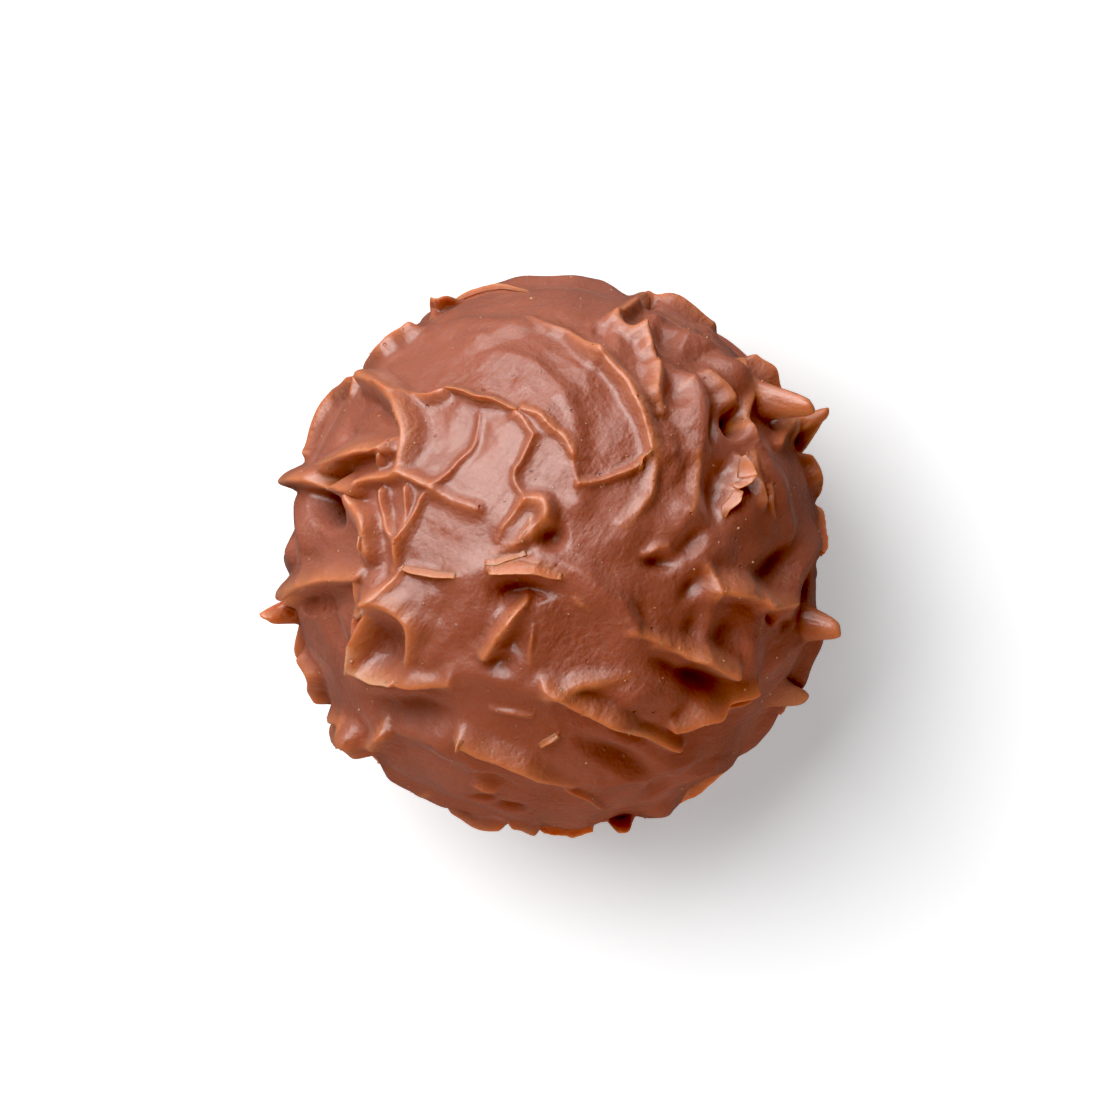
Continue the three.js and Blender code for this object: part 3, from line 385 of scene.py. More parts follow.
# Hollows that show from above. Each row is where the hollow's deepest line starts and ends, its radius and
# its depth.
SCOOPS_ABOVE = [
    # left
    (-9.0, 8.0, -8.1, 6.9, 0.5, 0.5),
    (-10.6, 6.0, -10.3, 6.0, 0.5, 0.25),
    (-9.8, 7.0, -9.6, 7.2, 1.6, 0.4),
    (-7.9, 11.1, -8.9, 10.0, 0.35, 0.3),
    (-11.4, 4.0, -10.3, 4.05, 0.55, 1.6),
    (-11.8, 3.0, -10.9, 2.0, 0.8, 2.2),
    (-9.4, 3.0, -9.5, 2.3, 0.4, 0.4),
    (-12.8, -2.1, -10.4, -2.2, 0.6, 0.7),
    (-11.2, -3.0, -10.7, -4.0, 0.7, 0.4),
    (-8.5, -3.3, -8.5, -4.7, 1.45, 0.8),
    (-9.4, -7.4, -5.6, -7.7, 1.0, 0.95),
    (-8.2, 2.6, -8.1, 1.6, 0.35, 0.3),
    (-5.2, 6.2, -5.0, 6.2, 1.6, 0.25),
    (-5.6, 1.2, -5.4, 1.2, 2.0, 0.12),
    # middle
    (-0.3, 1.2, -0.15, 1.0, 0.65, 0.75),
    (-2.9, -1.6, -0.2, -1.65, 0.55, 0.65),
    (-2.5, -2.0, -2.3, -2.1, 0.7, 0.4),
    (3.9, -2.6, 4.4, -3.3, 0.5, 0.4),
    (4.6, -0.3, 5.7, -0.3, 0.45, 0.6),
    (-3.1, -5.2, -2.4, -5.2, 0.5, 0.4),
    (-2.1, -4.4, -2.2, -3.6, 0.6, 0.3),
    (5.0, -5.2, 5.8, -5.5, 0.5, 0.4),
    (1.8, -4.0, 2.0, -4.0, 1.8, 0.3),
    # right
    (4.0, 12.4, 4.9, 12.6, 0.45, 0.8),
    (5.5, 11.4, 5.4, 10.2, 0.65, 0.7),
    (2.15, 11.3, 2.5, 10.4, 0.45, 0.35),
    (5.9, 8.8, 5.9, 7.3, 0.5, 0.3),
    (8.8, 7.0, 8.6, 6.2, 0.5, 1.5),
    (10.7, 7.0, 10.8, 6.5, 0.4, 1.3),
    (12.1, 5.6, 12.4, 4.8, 0.6, 1.0),
    (7.8, 7.2, 7.4, 5.4, 0.45, 0.5),
    (7.9, 4.2, 7.8, 2.0, 0.65, 0.65),
    (8.3, 4.3, 8.3, 4.1, 0.3, 0.3),
    (9.5, 3.9, 9.3, 3.5, 0.35, 0.4),
    (6.9, 1.2, 6.2, 0.3, 0.6, 0.5),
    (11.8, 0.3, 9.7, -1.4, 0.85, 0.8),
    (12.5, -1.0, 12.3, -2.2, 0.5, 0.5),
    (8.9, -3.1, 8.3, -4.5, 1.15, 0.6),
    (10.5, -2.9, 10.6, -3.0, 0.3, 0.5),
    (11.0, -3.3, 11.4, -3.2, 0.4, 0.3),
    (7.0, -1.0, 6.3, -1.9, 0.45, 0.5),
    (6.9, -3.0, 6.6, -4.0, 0.6, 0.5),
    (5.6, -5.6, 8.9, -6.7, 0.6, 1.25),
    # near side
    (1.2, -9.0, 5.0, -10.5, 0.6, 0.9),
    (2.8, -8.0, 5.6, -8.9, 0.55, 0.8),
    (-3.9, -10.6, -2.6, -11.2, 0.4, 0.3),
    (-4.2, -11.95, -3.0, -12.1, 0.35, 0.5),
    (-5.9, -12.0, -3.6, -12.8, 1.4, 0.45),
    (-2.5, -12.6, -2.1, -12.5, 0.6, 0.9),
    (4.9, -11.7, 5.3, -11.2, 0.7, 0.4),
    (9.5, -8.6, 10.3, -8.0, 1.6, 0.3),
    (7.0, -10.9, 7.4, -10.9, 0.25, 0.3),
]

# Crags round the lower half, which follow a rule. They keep clear of those above, and are lower near the
# ball's widest girth.
LOWER_CRAGS = 84
LOWER_TOP = 0.14  # highest and lowest of them, as parts of the ball's half-height
LOWER_BOTTOM = -0.86
LOWER_CLEARANCE = 1.9
GIRTH_SHARE = 0.4  # of their full height, at the top
FULL_BELOW = -0.4  # from here down they have their full height
LOWER_LENGTH = (2.5, 7.0)
LOWER_HEIGHT = (0.5, 1.3)
LOWER_BOW = 0.9
LOWER_LEAN = 0.4
LOWER_KINDS = (FIN, FLAKE, FOLD, FIN, FOLD)
GOLDEN_ANGLE = math.pi * (3 - math.sqrt(5))


def chance(crag, draw):
    """A repeatable random number from 0 to 1 for the draw-th choice about one crag."""
    spread = math.sin(crag * 12.9898 + draw * 78.233) * 43758.5453
    return spread - math.floor(spread)


def between(span, part):
    return span[0] + (span[1] - span[0]) * part


def ease(part):
    return part * part * (3 - 2 * part)


def unit(vectors):
    return vectors / np.linalg.norm(vectors, axis=-1, keepdims=True)


def seen_from_above(x, y, height):
    """The ways from the ball's centre to spots of some height over it that show at x, y from above."""
    way = np.stack([x / (BALL[0] + height), y / (BALL[1] + height), np.zeros_like(x)], axis=-1)
    way[..., 2] = np.sqrt(np.maximum(0, 1 - (way**2).sum(axis=-1)))
    return unit(way)


def seen_facing(spot, heading):
    """A function that turns x, y around a spot on the ball into the ways there from the centre, whatever the
    height."""
    east = unit(np.cross((0, 0, 1), spot))
    north = np.cross(spot, east)
    ahead = east * math.cos(heading) + north * math.sin(heading)
    aside = np.cross(spot, ahead)

    def place(x, y, height):
        return unit(spot + np.multiply.outer(x, ahead) / RADIUS + np.multiply.outer(y, aside) / RADIUS)

    return place


class Crag:
    """One crest on the ball, with what is needed to measure from it."""

    def __init__(self, row, place, number):
        self.kind, start_x, start_y, end_x, end_y, bow, *self.heights, self.lean = row
        self.length = math.hypot(end_x - start_x, end_y - start_y)
        side_x = (start_y - end_y) / self.length
        side_y = (end_x - start_x) / self.length
        part = np.linspace(0, 1, PATH_STEPS + 1)
        draws = np.random.default_rng((SEED, number))
        bends = draws.uniform(0, 2 * math.pi, size=len(PATH_TURNS))
        stray = sum(np.sin(part * self.length * turn + bend) for turn, bend in zip(PATH_TURNS, bends))
        off = 4 * bow * part * (1 - part) + PATH_WAVER * stray * np.sin(math.pi * part)
        self.crest = place(
            start_x + (end_x - start_x) * part + side_x * off,
            start_y + (end_y - start_y) * part + side_y * off,
            self.height_along(part),
        )
        aside = unit(np.cross(self.crest, np.gradient(self.crest, axis=0)))
        self.crest = unit(self.crest - aside * (self.lean * self.height_along(part) / RADIUS)[:, None])
        self.runs = np.diff(self.crest, axis=0)
        self.lefts = unit(np.cross(self.crest[:-1], self.runs))
        self.middle = self.crest[PATH_STEPS // 2]
        self.spread = self.length / 2 + abs(bow)
        self.chips = draws.uniform(-1, 1, size=CHIPS)
        self.streaks = draws.uniform(size=(STREAKS, 3))

    def near(self, ways, reach):
        """Which ways pass within reach of the crest, or a little further."""
        return np.nonzero(((ways - self.middle) ** 2).sum(axis=1) < ((self.spread + reach) / RADIUS) ** 2)[0]

    def measure(self, ways):
        """For each way, the nearest spot of the crest, how far along it is, the gap to it, the way to its
        left, and whether the way passes on that side."""
        best = np.full(len(ways), np.inf)
        along = np.zeros(len(ways))
        spot = np.zeros_like(ways)
        left = np.zeros_like(ways)
        to_left = np.zeros(len(ways), dtype=bool)
        for step in range(PATH_STEPS):
            run = self.runs[step]
            offset = ways - self.crest[step]
            part = np.clip(offset @ run / (run @ run), 0, 1)
            offset -= part[:, None] * run
            gap = (offset**2).sum(axis=1)
            nearer = gap < best
            best[nearer] = gap[nearer]
            along[nearer] = (step + part[nearer]) / PATH_STEPS
            spot[nearer] = self.crest[step] + part[nearer, None] * run
            left[nearer] = self.lefts[step]
            to_left[nearer] = offset[nearer] @ self.lefts[step] > 0
        return spot, along, np.sqrt(best) * RADIUS, left, to_left

    def ways_along(self, along):
        """The ways to spots that lie some parts of the way along the crest."""
        knots = np.linspace(0, 1, PATH_STEPS + 1)
        return unit(np.stack([np.interp(along, knots, axis) for axis in self.crest.T], axis=1))

    def height_along(self, along):
        at_start, at_middle, at_end = self.heights
        first = at_start + (at_middle - at_start) * ease(np.clip(along * 2, 0, 1))
        return first + (at_end - at_middle) * ease(np.clip(along * 2 - 1, 0, 1))

    def chip(self, along, step, shift):
        """A random number from -1 to 1 for spots along the crest, which takes a new turn at each step."""
        return np.interp(along * self.length / step + shift, np.arange(CHIPS), self.chips)

    def unevenness(self, along, step):
        """How far the crest strays from its even height, as a part of that."""
        return self.kind.uneven * self.chip(along, step, 1)

    def relief(self, along, gap, to_left):
        """How far the crag lifts the skin beside its crest."""
        kind = self.kind
        height = np.maximum(0, self.height_along(along))
        away = np.hypot(gap, kind.round) - kind.round
        under = np.sign(self.lean) * np.where(to_left, 1, -1)
        grown = CRAG_WIDTH[0] + CRAG_WIDTH[1] * height
        crest = np.maximum(0, 1 - (gap / (kind.edge * grown)) ** CREST_POWER) ** 2
        crest *= 1 + self.unevenness(along, CHIP_LENGTH)
        flank = kind.flank * grown * np.where(under > 0, 1 - UNDER_STEEPER, 1)
        slope = np.maximum(0, 1 - away / flank) ** 2
        return kind.rise * height * (kind.thin * crest + (1 - kind.thin) * slope)

    def drag_marks(self, along, gap, to_left):
        """Streaks that run along beside the crest."""
        aside = gap * np.where(to_left, 1, -1)
        marks = np.zeros(len(gap))
        for length, phase, drift in self.streaks:
            wave = 2 * math.pi / between(STREAK_LENGTHS, length)
            shift = STREAK_SHIFT * phase
            fading = np.sin(along * self.length * (STREAK_FADING + drift) + shift)
            marks += np.sin(wave * aside + shift + STREAK_SLANT * along) * fading
        return marks / STREAKS


def lower_spot(number):
    height = between((LOWER_TOP, LOWER_BOTTOM), (number + 0.5) / LOWER_CRAGS)
    turn = number * GOLDEN_ANGLE
    girth = math.sqrt(1 - height * height)
    return np.array([girth * math.cos(turn), girth * math.sin(turn), height])


def lower_crag(number, spot):
    length = between(LOWER_LENGTH, chance(number, 1))
    below = np.clip((LOWER_TOP - spot[2]) / (LOWER_TOP - FULL_BELOW), 0, 1)
    rise = between(LOWER_HEIGHT, chance(number, 2)) * between((GIRTH_SHARE, 1), below)
    bow = LOWER_BOW * (2 * chance(number, 3) - 1)
    lean = LOWER_LEAN * (2 * chance(number, 4) - 1)
    kind = LOWER_KINDS[number % len(LOWER_KINDS)]
    ends = (rise * chance(number, 5), rise * chance(number, 6))
    row = (kind, -length / 2, 0, length / 2, 0, bow, ends[0], rise, ends[1], lean)
    return Crag(row, seen_facing(spot, math.pi * chance(number, 7)), number)


def all_crags():
    above = [Crag(row, seen_from_above, number) for number, row in enumerate(CRAGS_ABOVE)]
    lower = []
    for number in range(LOWER_CRAGS):
        spot = lower_spot(number)
        gaps = [crag.measure(spot[None, :])[2][0] for crag in above]
        if min(gaps) >= LOWER_CLEARANCE:
            lower.append(lower_crag(number, spot))
    return above + lower


def crowd(ways):
    """Moves the skin's points towards the top without changing the shape of its small triangles."""
    up = 1 + ways[:, 2:]
    down = TOP_CROWDING**2 * (1 - ways[:, 2:])
    return np.hstack([2 * TOP_CROWDING * ways[:, :2], up - down]) / (up + down)


def drawn_in(ways, spots, gap, reach):
    """Ways that pass within reach of the spots, drawn in towards them."""
    kept = np.where(gap < reach, (gap / reach) ** (PINCH_POWER - 1), 1)
    return unit(spots + (ways - spots) * kept[:, None])


def pinch(ways, crags):
    """Draws the skin's points in towards the crests and spikes, so that these come out crisp."""
    for crag in crags:
        if crag.kind.thin == 0:
            continue
        near = crag.near(ways, PINCH_REACH)
        spots, _, gap, _, _ = crag.measure(ways[near])
        ways[near] = drawn_in(ways[near], spots, gap, PINCH_REACH)
    for root, foot, _ in spike_roots():
        gap = np.linalg.norm(ways - root, axis=1) * RADIUS
        ways = drawn_in(ways, root, gap, foot)
    return ways


def soft_waves(points):
    """Uneven waves in all directions, as left by soft chocolate."""
    draws = np.random.default_rng(SEED)
    lift = np.zeros(len(points))
    for wave in range(SAG_WAVES):
        length = between(SAG_LENGTHS, (wave + 0.5) / SAG_WAVES)
        way = unit(draws.normal(size=3)) * 2 * math.pi / length
        lift += SAG_HEIGHT * length * np.sin(points @ way + draws.uniform(0, 2 * math.pi))
    return lift / math.sqrt(SAG_WAVES / 2)


def lumps(ways):
    """The slow waves left by rolling."""
    turns = ways * LUMP_TURNS + LUMP_SHIFTS
    return LUMP_HEIGHT * (np.sin(turns[:, 0]) * np.sin(turns[:, 1]) * np.cos(turns[:, 2]))


def scooped_out(ways):
    """How deep the hollows are in each direction."""
    depths = np.zeros(len(ways))
    for start_x, start_y, end_x, end_y, radius, depth in SCOOPS_ABOVE:
        start, end = seen_from_above(np.array([start_x, end_x]), np.array([start_y, end_y]), 0)
        offset = (ways - (start + end) / 2) * RADIUS
        reach = SCOOP_REACH * radius
        half = np.linalg.norm(end - start) * RADIUS / 2 + reach
        along = offset @ unit(end - start)
        aside = np.maximum(0, (offset**2).sum(axis=1) - along**2)
        depths += depth * np.maximum(0, 1 - (along / half) ** 2 - aside / reach**2) ** 2
    return depths


def spike_roots():
    """For each spike, the way to its foot, the foot's radius, and how far it reaches out from there."""
    for root_x, root_y, tip_x, tip_y, height, foot in SPIKES_ABOVE:
        sides = np.array([root_x, tip_x]), np.array([root_y, tip_y])
        root, tip = seen_from_above(*sides, np.array([0, height]))
        yield root, foot, tip * (BALL + height) - root * BALL


def drawn_out(ways):
    """How far the spikes draw the skin out in each direction, and how thin it is there."""
    pull = np.zeros_like(ways)
    shares = np.zeros(len(ways))
    thin = np.zeros(len(ways))
    for root, foot, reach in spike_roots():
        gap = np.linalg.norm(ways - root, axis=1) * RADIUS
        part = np.maximum(0, 1 - (gap / foot) ** SPIKE_POWER) ** SPIKE_POWER
        pull += part[:, None] * reach
        shares += part
        thin = np.maximum(thin, part)
    return pull / np.maximum(1, shares)[:, None], thin


def skin_points(ways, crags):
    """Where the skin lies in each direction from the ball's centre, before the spikes are drawn out of it,
    and how thin, deep and broken it is there. How thin it is sets a painted glow of light shining through,
    and how deep a painted shade."""
    cubes = np.zeros(len(ways))
    squares = np.full(len(ways), 1e-9)  # not zero, because the sway is divided by them
    sway = np.zeros_like(ways)
    marks = np.zeros(len(ways))
    mark_shares = np.full(len(ways), STREAK_HOLD)
    thin = np.zeros(len(ways))
    broken = np.zeros(len(ways))
    for crag in crags:
        near = crag.near(ways, CRAG_REACH)
        _, along, gap, left, to_left = crag.measure(ways[near])
        height = crag.relief(along, gap, to_left)
        full = np.maximum(LEAST_HEIGHT, crag.height_along(along))
        cubes[near] += height**3
        squares[near] += height**2
        sway[near] += left * (crag.lean * height**4 / full)[:, None]
        share = np.exp(-gap)
        mark_shares[near] += share
        marks[near] += share * crag.drag_marks(along, gap, to_left)
        # A crest drawn out thin gets a painted glow of light shining through it, and more crumbs.
        if crag.kind.thin > 0:
            drawn = np.minimum(1, THIN_GAIN * height) * np.exp(-gap / THIN_FADE)
            thin[near] = np.maximum(thin[near], drawn)
        if crag.kind.broken > 0:
            pale = crag.kind.broken * np.clip(1.5 - gap / BROKEN_REACH, 0, 1)
            broken[near] = np.maximum(broken[near], pale)
    deep = scooped_out(ways)
    lift = np.cbrt(cubes) + STREAK_HEIGHT * marks / mark_shares - deep
    lift += lumps(ways) + soft_waves(ways * RADIUS)
    points = ways * BALL + ways * lift[:, None] + sway / squares[:, None]
    points[:, 2] = np.maximum(0, points[:, 2] + CENTRE_HEIGHT)
    return points, {"thin": thin, "deep": deep, "broken": broken}


def add_object(name, data):
    thing = bpy.data.objects.new(name, data)
    bpy.context.scene.collection.objects.link(thing)
    return thing


def new_piece(name, mesh):
    mesh.shade_smooth()
    mesh.update()
    return add_object(name, mesh)


def set_values(mesh, **lists):
    """Gives every point of a mesh its values, for the material."""
    for name, values in lists.items():
        held = mesh.attributes.new(name, "FLOAT", "POINT")
        held.data.foreach_set("value", np.asarray(values, dtype=float))


def face_outwards(mesh):
    bm = bmesh.new()
    bm.from_mesh(mesh)
    bmesh.ops.recalc_face_normals(bm, faces=bm.faces[:])
    bm.to_mesh(mesh)
    bm.free()


def softened(points, ends):
    """The skin's points after drawing each towards the middle of its neighbours, as soft chocolate rounds
    off."""
    one, other = ends.T
    neighbours = np.bincount(ends.ravel(), minlength=len(points))
    for _ in range(SOFTENING):
        middle = [
            np.bincount(one, axis[other], len(points)) + np.bincount(other, axis[one], len(points))
            for axis in points.T
        ]
        points = points + SOFTENING_SHARE * (np.array(middle) / neighbours - points.T).T
    return points


def make_coating(crags):
    bm = bmesh.new()
    bmesh.ops.create_icosphere(bm, subdivisions=1, radius=1)
    bmesh.ops.subdivide_edges(bm, edges=bm.edges[:], cuts=SKIN_CUTS, use_grid_fill=True)
    mesh = bpy.data.meshes.new("coating")
    bm.to_mesh(mesh)
    bm.free()
    ways = np.empty(len(mesh.vertices) * 3)
    mesh.vertices.foreach_get("co", ways)
    ways = pinch(crowd(unit(ways.reshape(-1, 3))), crags)
    points, marks = skin_points(ways, crags)
    ends = np.empty(len(mesh.edges) * 2, dtype=np.int32)
    mesh.edges.foreach_get("vertices", ends)
    pull, spiky = drawn_out(ways)
    points = softened(points, ends.reshape(-1, 2)) + pull
    mesh.vertices.foreach_set("co", (points * MM).ravel())
    marks["crumbly"] = np.where(points[:, 2] > CRUMB_FLOOR, 1 + CRUMB_CROWDING * marks["thin"], 0)
    # Spikes get the painted glow of thin chocolate too.
    marks["thin"] = np.maximum(marks["thin"], spiky)
    # Deep hollows get painted shade.
    marks["deep"] = np.clip((marks["deep"] - PAINTED_SHADE_DEPTHS[0]) / (PAINTED_SHADE_DEPTHS[1] - PAINTED_SHADE_DEPTHS[0]), 0, 1)
    set_values(mesh, **marks)
    return new_piece("coating", mesh)


def tube_faces(rings, around, first):
    """The faces of a closed tube with a number of points around each ring."""
    faces = []
    for ring in range(rings - 1):
        low = first + ring * around
        high = low + around
        for point in range(around):
            after = (point + 1) % around
            faces.append((low + point, low + after, high + after, high + point))
    faces.append(tuple(first + point for point in reversed(range(around))))
    faces.append(tuple(first + (rings - 1) * around + point for point in range(around)))
    return faces


def leaf_places(crag):
    """Evenly spaced parts of the way along a flake."""
    return np.linspace(0, 1, max(LEAF_LEAST, round(crag.length * LEAF_DENSITY)))


def leaf_rings(crag, ways, roots):
    """The cross-sections of one thin flake, from its root in the coating to its broken edge, and how far up
    the flake and how bare each of their points is."""
    along = leaf_places(crag)
    lefts = unit(np.cross(ways, np.gradient(ways, axis=0)))
    chipped = 1 + crag.unevenness(along, LEAF_CHIPS[0]) + crag.unevenness(along[::-1], LEAF_CHIPS[1])
    from_end = np.minimum(along, 1 - along) * crag.length
    tall = crag.height_along(along) * chipped * np.minimum(1, LEAF_ENDS + from_end)
    bare = np.clip(LEAF_BARE[0] + LEAF_BARE[1] * crag.chip(along, LEAF_BARE_LENGTH, 3), 0, 1)
    up = np.linspace(LEAF_ROOT, 1, LEAF_STEPS)
    half = (LEAF_EDGE + LEAF_SWELL * (1 - up) ** LEAF_TAPER)[:, None] / 2
    rings = []
    for root, way, left, height in zip(roots, ways, lefts, tall):
        over = crag.lean * height
        middle = root + np.outer((up - FLAKE.rise) * height, way)
        middle += np.outer(over * (up**2 - FLAKE.rise**2), left)
        side = unit(height * left - np.outer(2 * over * up, way))
        tip = middle[-1:] + way * LEAF_EDGE / 2
        rings.append(np.vstack([middle - side * half, tip, (middle + side * half)[::-1]]))
    rise = np.concatenate([up, [1.0], up[::-1]])
    edge = np.clip((rise - LEAF_BARE_FROM) / (1 - LEAF_BARE_FROM), 0, 1)
    return np.array(rings), np.tile(rise, len(rings)), np.outer(bare, edge).ravel()


def make_flakes(crags):
    leaves = [crag for crag in crags if crag.kind is FLAKE]
    ways = [leaf.ways_along(leaf_places(leaf)) for leaf in leaves]
    ends = np.cumsum([len(some) for some in ways])[:-1]
    roots = np.split(skin_points(np.vstack(ways), crags)[0], ends)
    points, faces, rises, baring = [], [], [], []
    for leaf, leaf_ways, leaf_roots in zip(leaves, ways, roots):
        rings, rise, bare = leaf_rings(leaf, leaf_ways, leaf_roots)
        faces += tube_faces(*rings.shape[:2], len(points))
        points += list(rings.reshape(-1, 3) * MM)
        rises += list(rise)
        baring += list(bare)
    mesh = bpy.data.meshes.new("flakes")
    mesh.from_pydata(points, [], faces)
    face_outwards(mesh)
    # How far up a flake a point lies sets the painted glow of light shining through its thin edge.
    set_values(mesh, thin=rises, broken=baring)
    return new_piece("flakes", mesh)


def add_node(tree, kind, **values):
    node = tree.nodes.new(kind)
    for name, value in values.items():
        setattr(node, name, value)
    return node


def add_sockets(tree, way, **kinds):
    """Gives a node group its sockets on the way in or out, each with a name and a kind of value."""
    for name, kind in kinds.items():
        tree.interface.new_socket(name, in_out=way, socket_type="NodeSocket" + kind)


def set_inputs(node, values):
    for name, value in values.items():
        node.inputs[name].default_value = value


def crumb_tree(material):
    """Geometry nodes that scatter crumbs over a piece, more of them where it is drawn out thin."""
    tree = bpy.data.node_groups.new("scatter_crumbs", "GeometryNodeTree")
    add_sockets(tree, "INPUT", Geometry="Geometry", Density="Float", Size="Float", Seed="Int")
    add_sockets(tree, "OUTPUT", Geometry="Geometry")
    link = tree.links.new
    given = add_node(tree, "NodeGroupInput")
    crumbly = add_node(tree, "GeometryNodeInputNamedAttribute", data_type="FLOAT")
    crumbly.inputs["Name"].default_value = "crumbly"
    dense = add_node(tree, "ShaderNodeMath", operation="MULTIPLY")
    link(crumbly.outputs["Attribute"], dense.inputs[0])
    link(given.outputs["Density"], dense.inputs[1])
    spots = add_node(tree, "GeometryNodeDistributePointsOnFaces", distribute_method="RANDOM")
    link(given.outputs["Geometry"], spots.inputs["Mesh"])
    link(dense.outputs["Value"], spots.inputs["Density"])
    link(given.outputs["Seed"], spots.inputs["Seed"])

    def random_vector(lowest, highest):
        node = add_node(tree, "FunctionNodeRandomValue", data_type="FLOAT_VECTOR")
        set_inputs(node, {"Min": lowest, "Max": highest})
        link(given.outputs["Seed"], node.inputs["Seed"])
        return node.outputs["Value"]

    crumb = add_node(tree, "GeometryNodeMeshIcoSphere")
    crumb.inputs["Subdivisions"].default_value = 1
    sizes = add_node(tree, "ShaderNodeVectorMath", operation="SCALE")
    link(random_vector(*CRUMB_SHARES), sizes.inputs["Vector"])
    link(given.outputs["Size"], sizes.inputs["Scale"])
    placed = add_node(tree, "GeometryNodeInstanceOnPoints")
    link(spots.outputs["Points"], placed.inputs["Points"])
    link(crumb.outputs["Mesh"], placed.inputs["Instance"])
    link(random_vector((0, 0, 0), (2 * math.pi,) * 3), placed.inputs["Rotation"])
    link(sizes.outputs["Vector"], placed.inputs["Scale"])
    real = add_node(tree, "GeometryNodeRealizeInstances")
    link(placed.outputs["Instances"], real.inputs["Geometry"])
    coloured = add_node(tree, "GeometryNodeSetMaterial")
    coloured.inputs["Material"].default_value = material
    link(real.outputs["Geometry"], coloured.inputs["Geometry"])
    link(coloured.outputs["Geometry"], add_node(tree, "NodeGroupOutput").inputs["Geometry"])
    return tree


def make_crumbs(coating, material):
    carrier = add_object("crumb_carrier", coating.data)
    scatter = carrier.modifiers.new("crumbs", "NODES")
    scatter.node_group = crumb_tree(material)
    values = {"Density": CRUMB_DENSITY, "Size": CRUMB_SIZE * MM, "Seed": SEED}
    for socket in scatter.node_group.interface.items_tree:
        if socket.in_out == "INPUT" and socket.name in values:
            scatter[socket.identifier] = values[socket.name]
    shaped = carrier.evaluated_get(bpy.context.evaluated_depsgraph_get())
    mesh = bpy.data.meshes.new_from_object(shaped)
    mesh.name = "crumbs"
    carrier.modifiers.remove(scatter)
    bpy.data.objects.remove(carrier)
    return add_object("crumbs", mesh)


def make_grain():
    """The chocolate's fine grain: a colour that drifts from patch to patch, pale specks, a roughness that
    changes, and the height of pimples, scratches, specks and pits."""
    group = bpy.data.node_groups.new("chocolate_grain", "ShaderNodeTree")
    add_sockets(group, "INPUT", Place="Vector", Colour="Color", Drift="Float")
    add_sockets(group, "OUTPUT", Colour="Color", Roughness="Float", Height="Float")
    given = add_node(group, "NodeGroupInput").outputs
    result = add_node(group, "NodeGroupOutput").inputs
    link = group.links.new

    def noise(scale, detail, place=given["Place"]):
        node = add_node(group, "ShaderNodeTexNoise")
        set_inputs(node, {"Scale": scale, "Detail": detail})
        link(place, node.inputs["Vector"])
        return node.outputs["Fac"]

    def spread(value, low, high, to_low, to_high):
        node = add_node(group, "ShaderNodeMapRange")
        set_inputs(node, {"From Min": low, "From Max": high, "To Min": to_low, "To Max": to_high})
        link(value, node.inputs["Value"])
        return node.outputs["Result"]

    def dots(scale, size):
        node = add_node(group, "ShaderNodeTexVoronoi")
        node.inputs["Scale"].default_value = scale
        link(given["Place"], node.inputs["Vector"])
        return spread(node.outputs["Distance"], size, size * DOT_CORE, 0, 1)

    def fill(sockets, values):
        for socket, value in zip(sockets, values):
            if isinstance(value, bpy.types.NodeSocket):
                link(value, socket)
            else:
                socket.default_value = value

    def reckon(operation, first, second):
        node = add_node(group, "ShaderNodeMath", operation=operation)
        fill(node.inputs, (first, second))
        return node.outputs["Value"]

    # A mix node's sockets go by number, because those for numbers and for colours have the same names
    def mix(share, first, second):
        node = add_node(group, "ShaderNodeMix", data_type="RGBA")
        fill((node.inputs[0], node.inputs[6], node.inputs[7]), (share, first, second))
        return node.outputs[2]

    patches = spread(noise(PATCH_SCALE, 3.0), *PATCH_RANGE, 0, 1)
    darker = add_node(group, "ShaderNodeHueSaturation")
    set_inputs(darker, {"Value": PATCH_VALUE, "Saturation": PATCH_SATURATION})
    link(given["Colour"], darker.inputs["Color"])
    drifted = mix(reckon("MULTIPLY", patches, given["Drift"]), given["Colour"], darker.outputs["Color"])

    speckled = spread(noise(SPECK_FIELDS, 1.0), *SPECK_RANGE, 0, SPECK_STRENGTH)
    specks = reckon("MULTIPLY", dots(SPECK_SCALE, SPECK_SIZE), speckled)
    link(mix(specks, drifted, SPECK_CHOCOLATE), result["Colour"])

    fine = noise(FINE_SCALE, 3.0)
    link(spread(fine, *FINE_RANGE, *FINE_ROUGHNESS), result["Roughness"])

    pimpled = spread(noise(PIMPLE_FIELDS, 1.0), *PIMPLE_RANGE, *PIMPLE_STRENGTHS)
    pimples = reckon("MULTIPLY", noise(PIMPLE_SCALE, 2.0), pimpled)
    grain = reckon("ADD", pimples, reckon("MULTIPLY", fine, FINE_STRENGTH))

    stretched = add_node(group, "ShaderNodeMapping", vector_type="TEXTURE")
    set_inputs(stretched, {"Rotation": (0, 0, SCRATCH_TURN), "Scale": SCRATCH_STRETCH})
    link(given["Place"], stretched.inputs["Vector"])
    scratched = spread(noise(SCRATCH_FIELDS, 1.0), *SCRATCH_RANGE, 0, SCRATCH_STRENGTH)
    scratches = noise(SCRATCH_SCALE, 2.0, stretched.outputs["Vector"])
    grain = reckon("ADD", grain, reckon("MULTIPLY", scratches, scratched))

    raised = reckon("ADD", grain, specks)
    link(reckon("SUBTRACT", raised, dots(PIT_SCALE, PIT_SIZE)), result["Height"])
    return group


def grained_material(name, grain, colour, drift):
    """A new material with the grain in a colour of its own, which sets its roughness, and that grain's
    outputs."""
    material = bpy.data.materials.new(name)
    material.use_nodes = True
    tree = material.node_tree
    place = add_node(tree, "ShaderNodeTexCoord")
    texture = add_node(tree, "ShaderNodeGroup", node_tree=grain)
    set_inputs(texture, {"Colour": colour, "Drift": drift})
    tree.links.new(place.outputs["Object"], texture.inputs["Place"])
    tree.links.new(texture.outputs["Roughness"], tree.nodes["Principled BSDF"].inputs["Roughness"])
    return material, texture.outputs


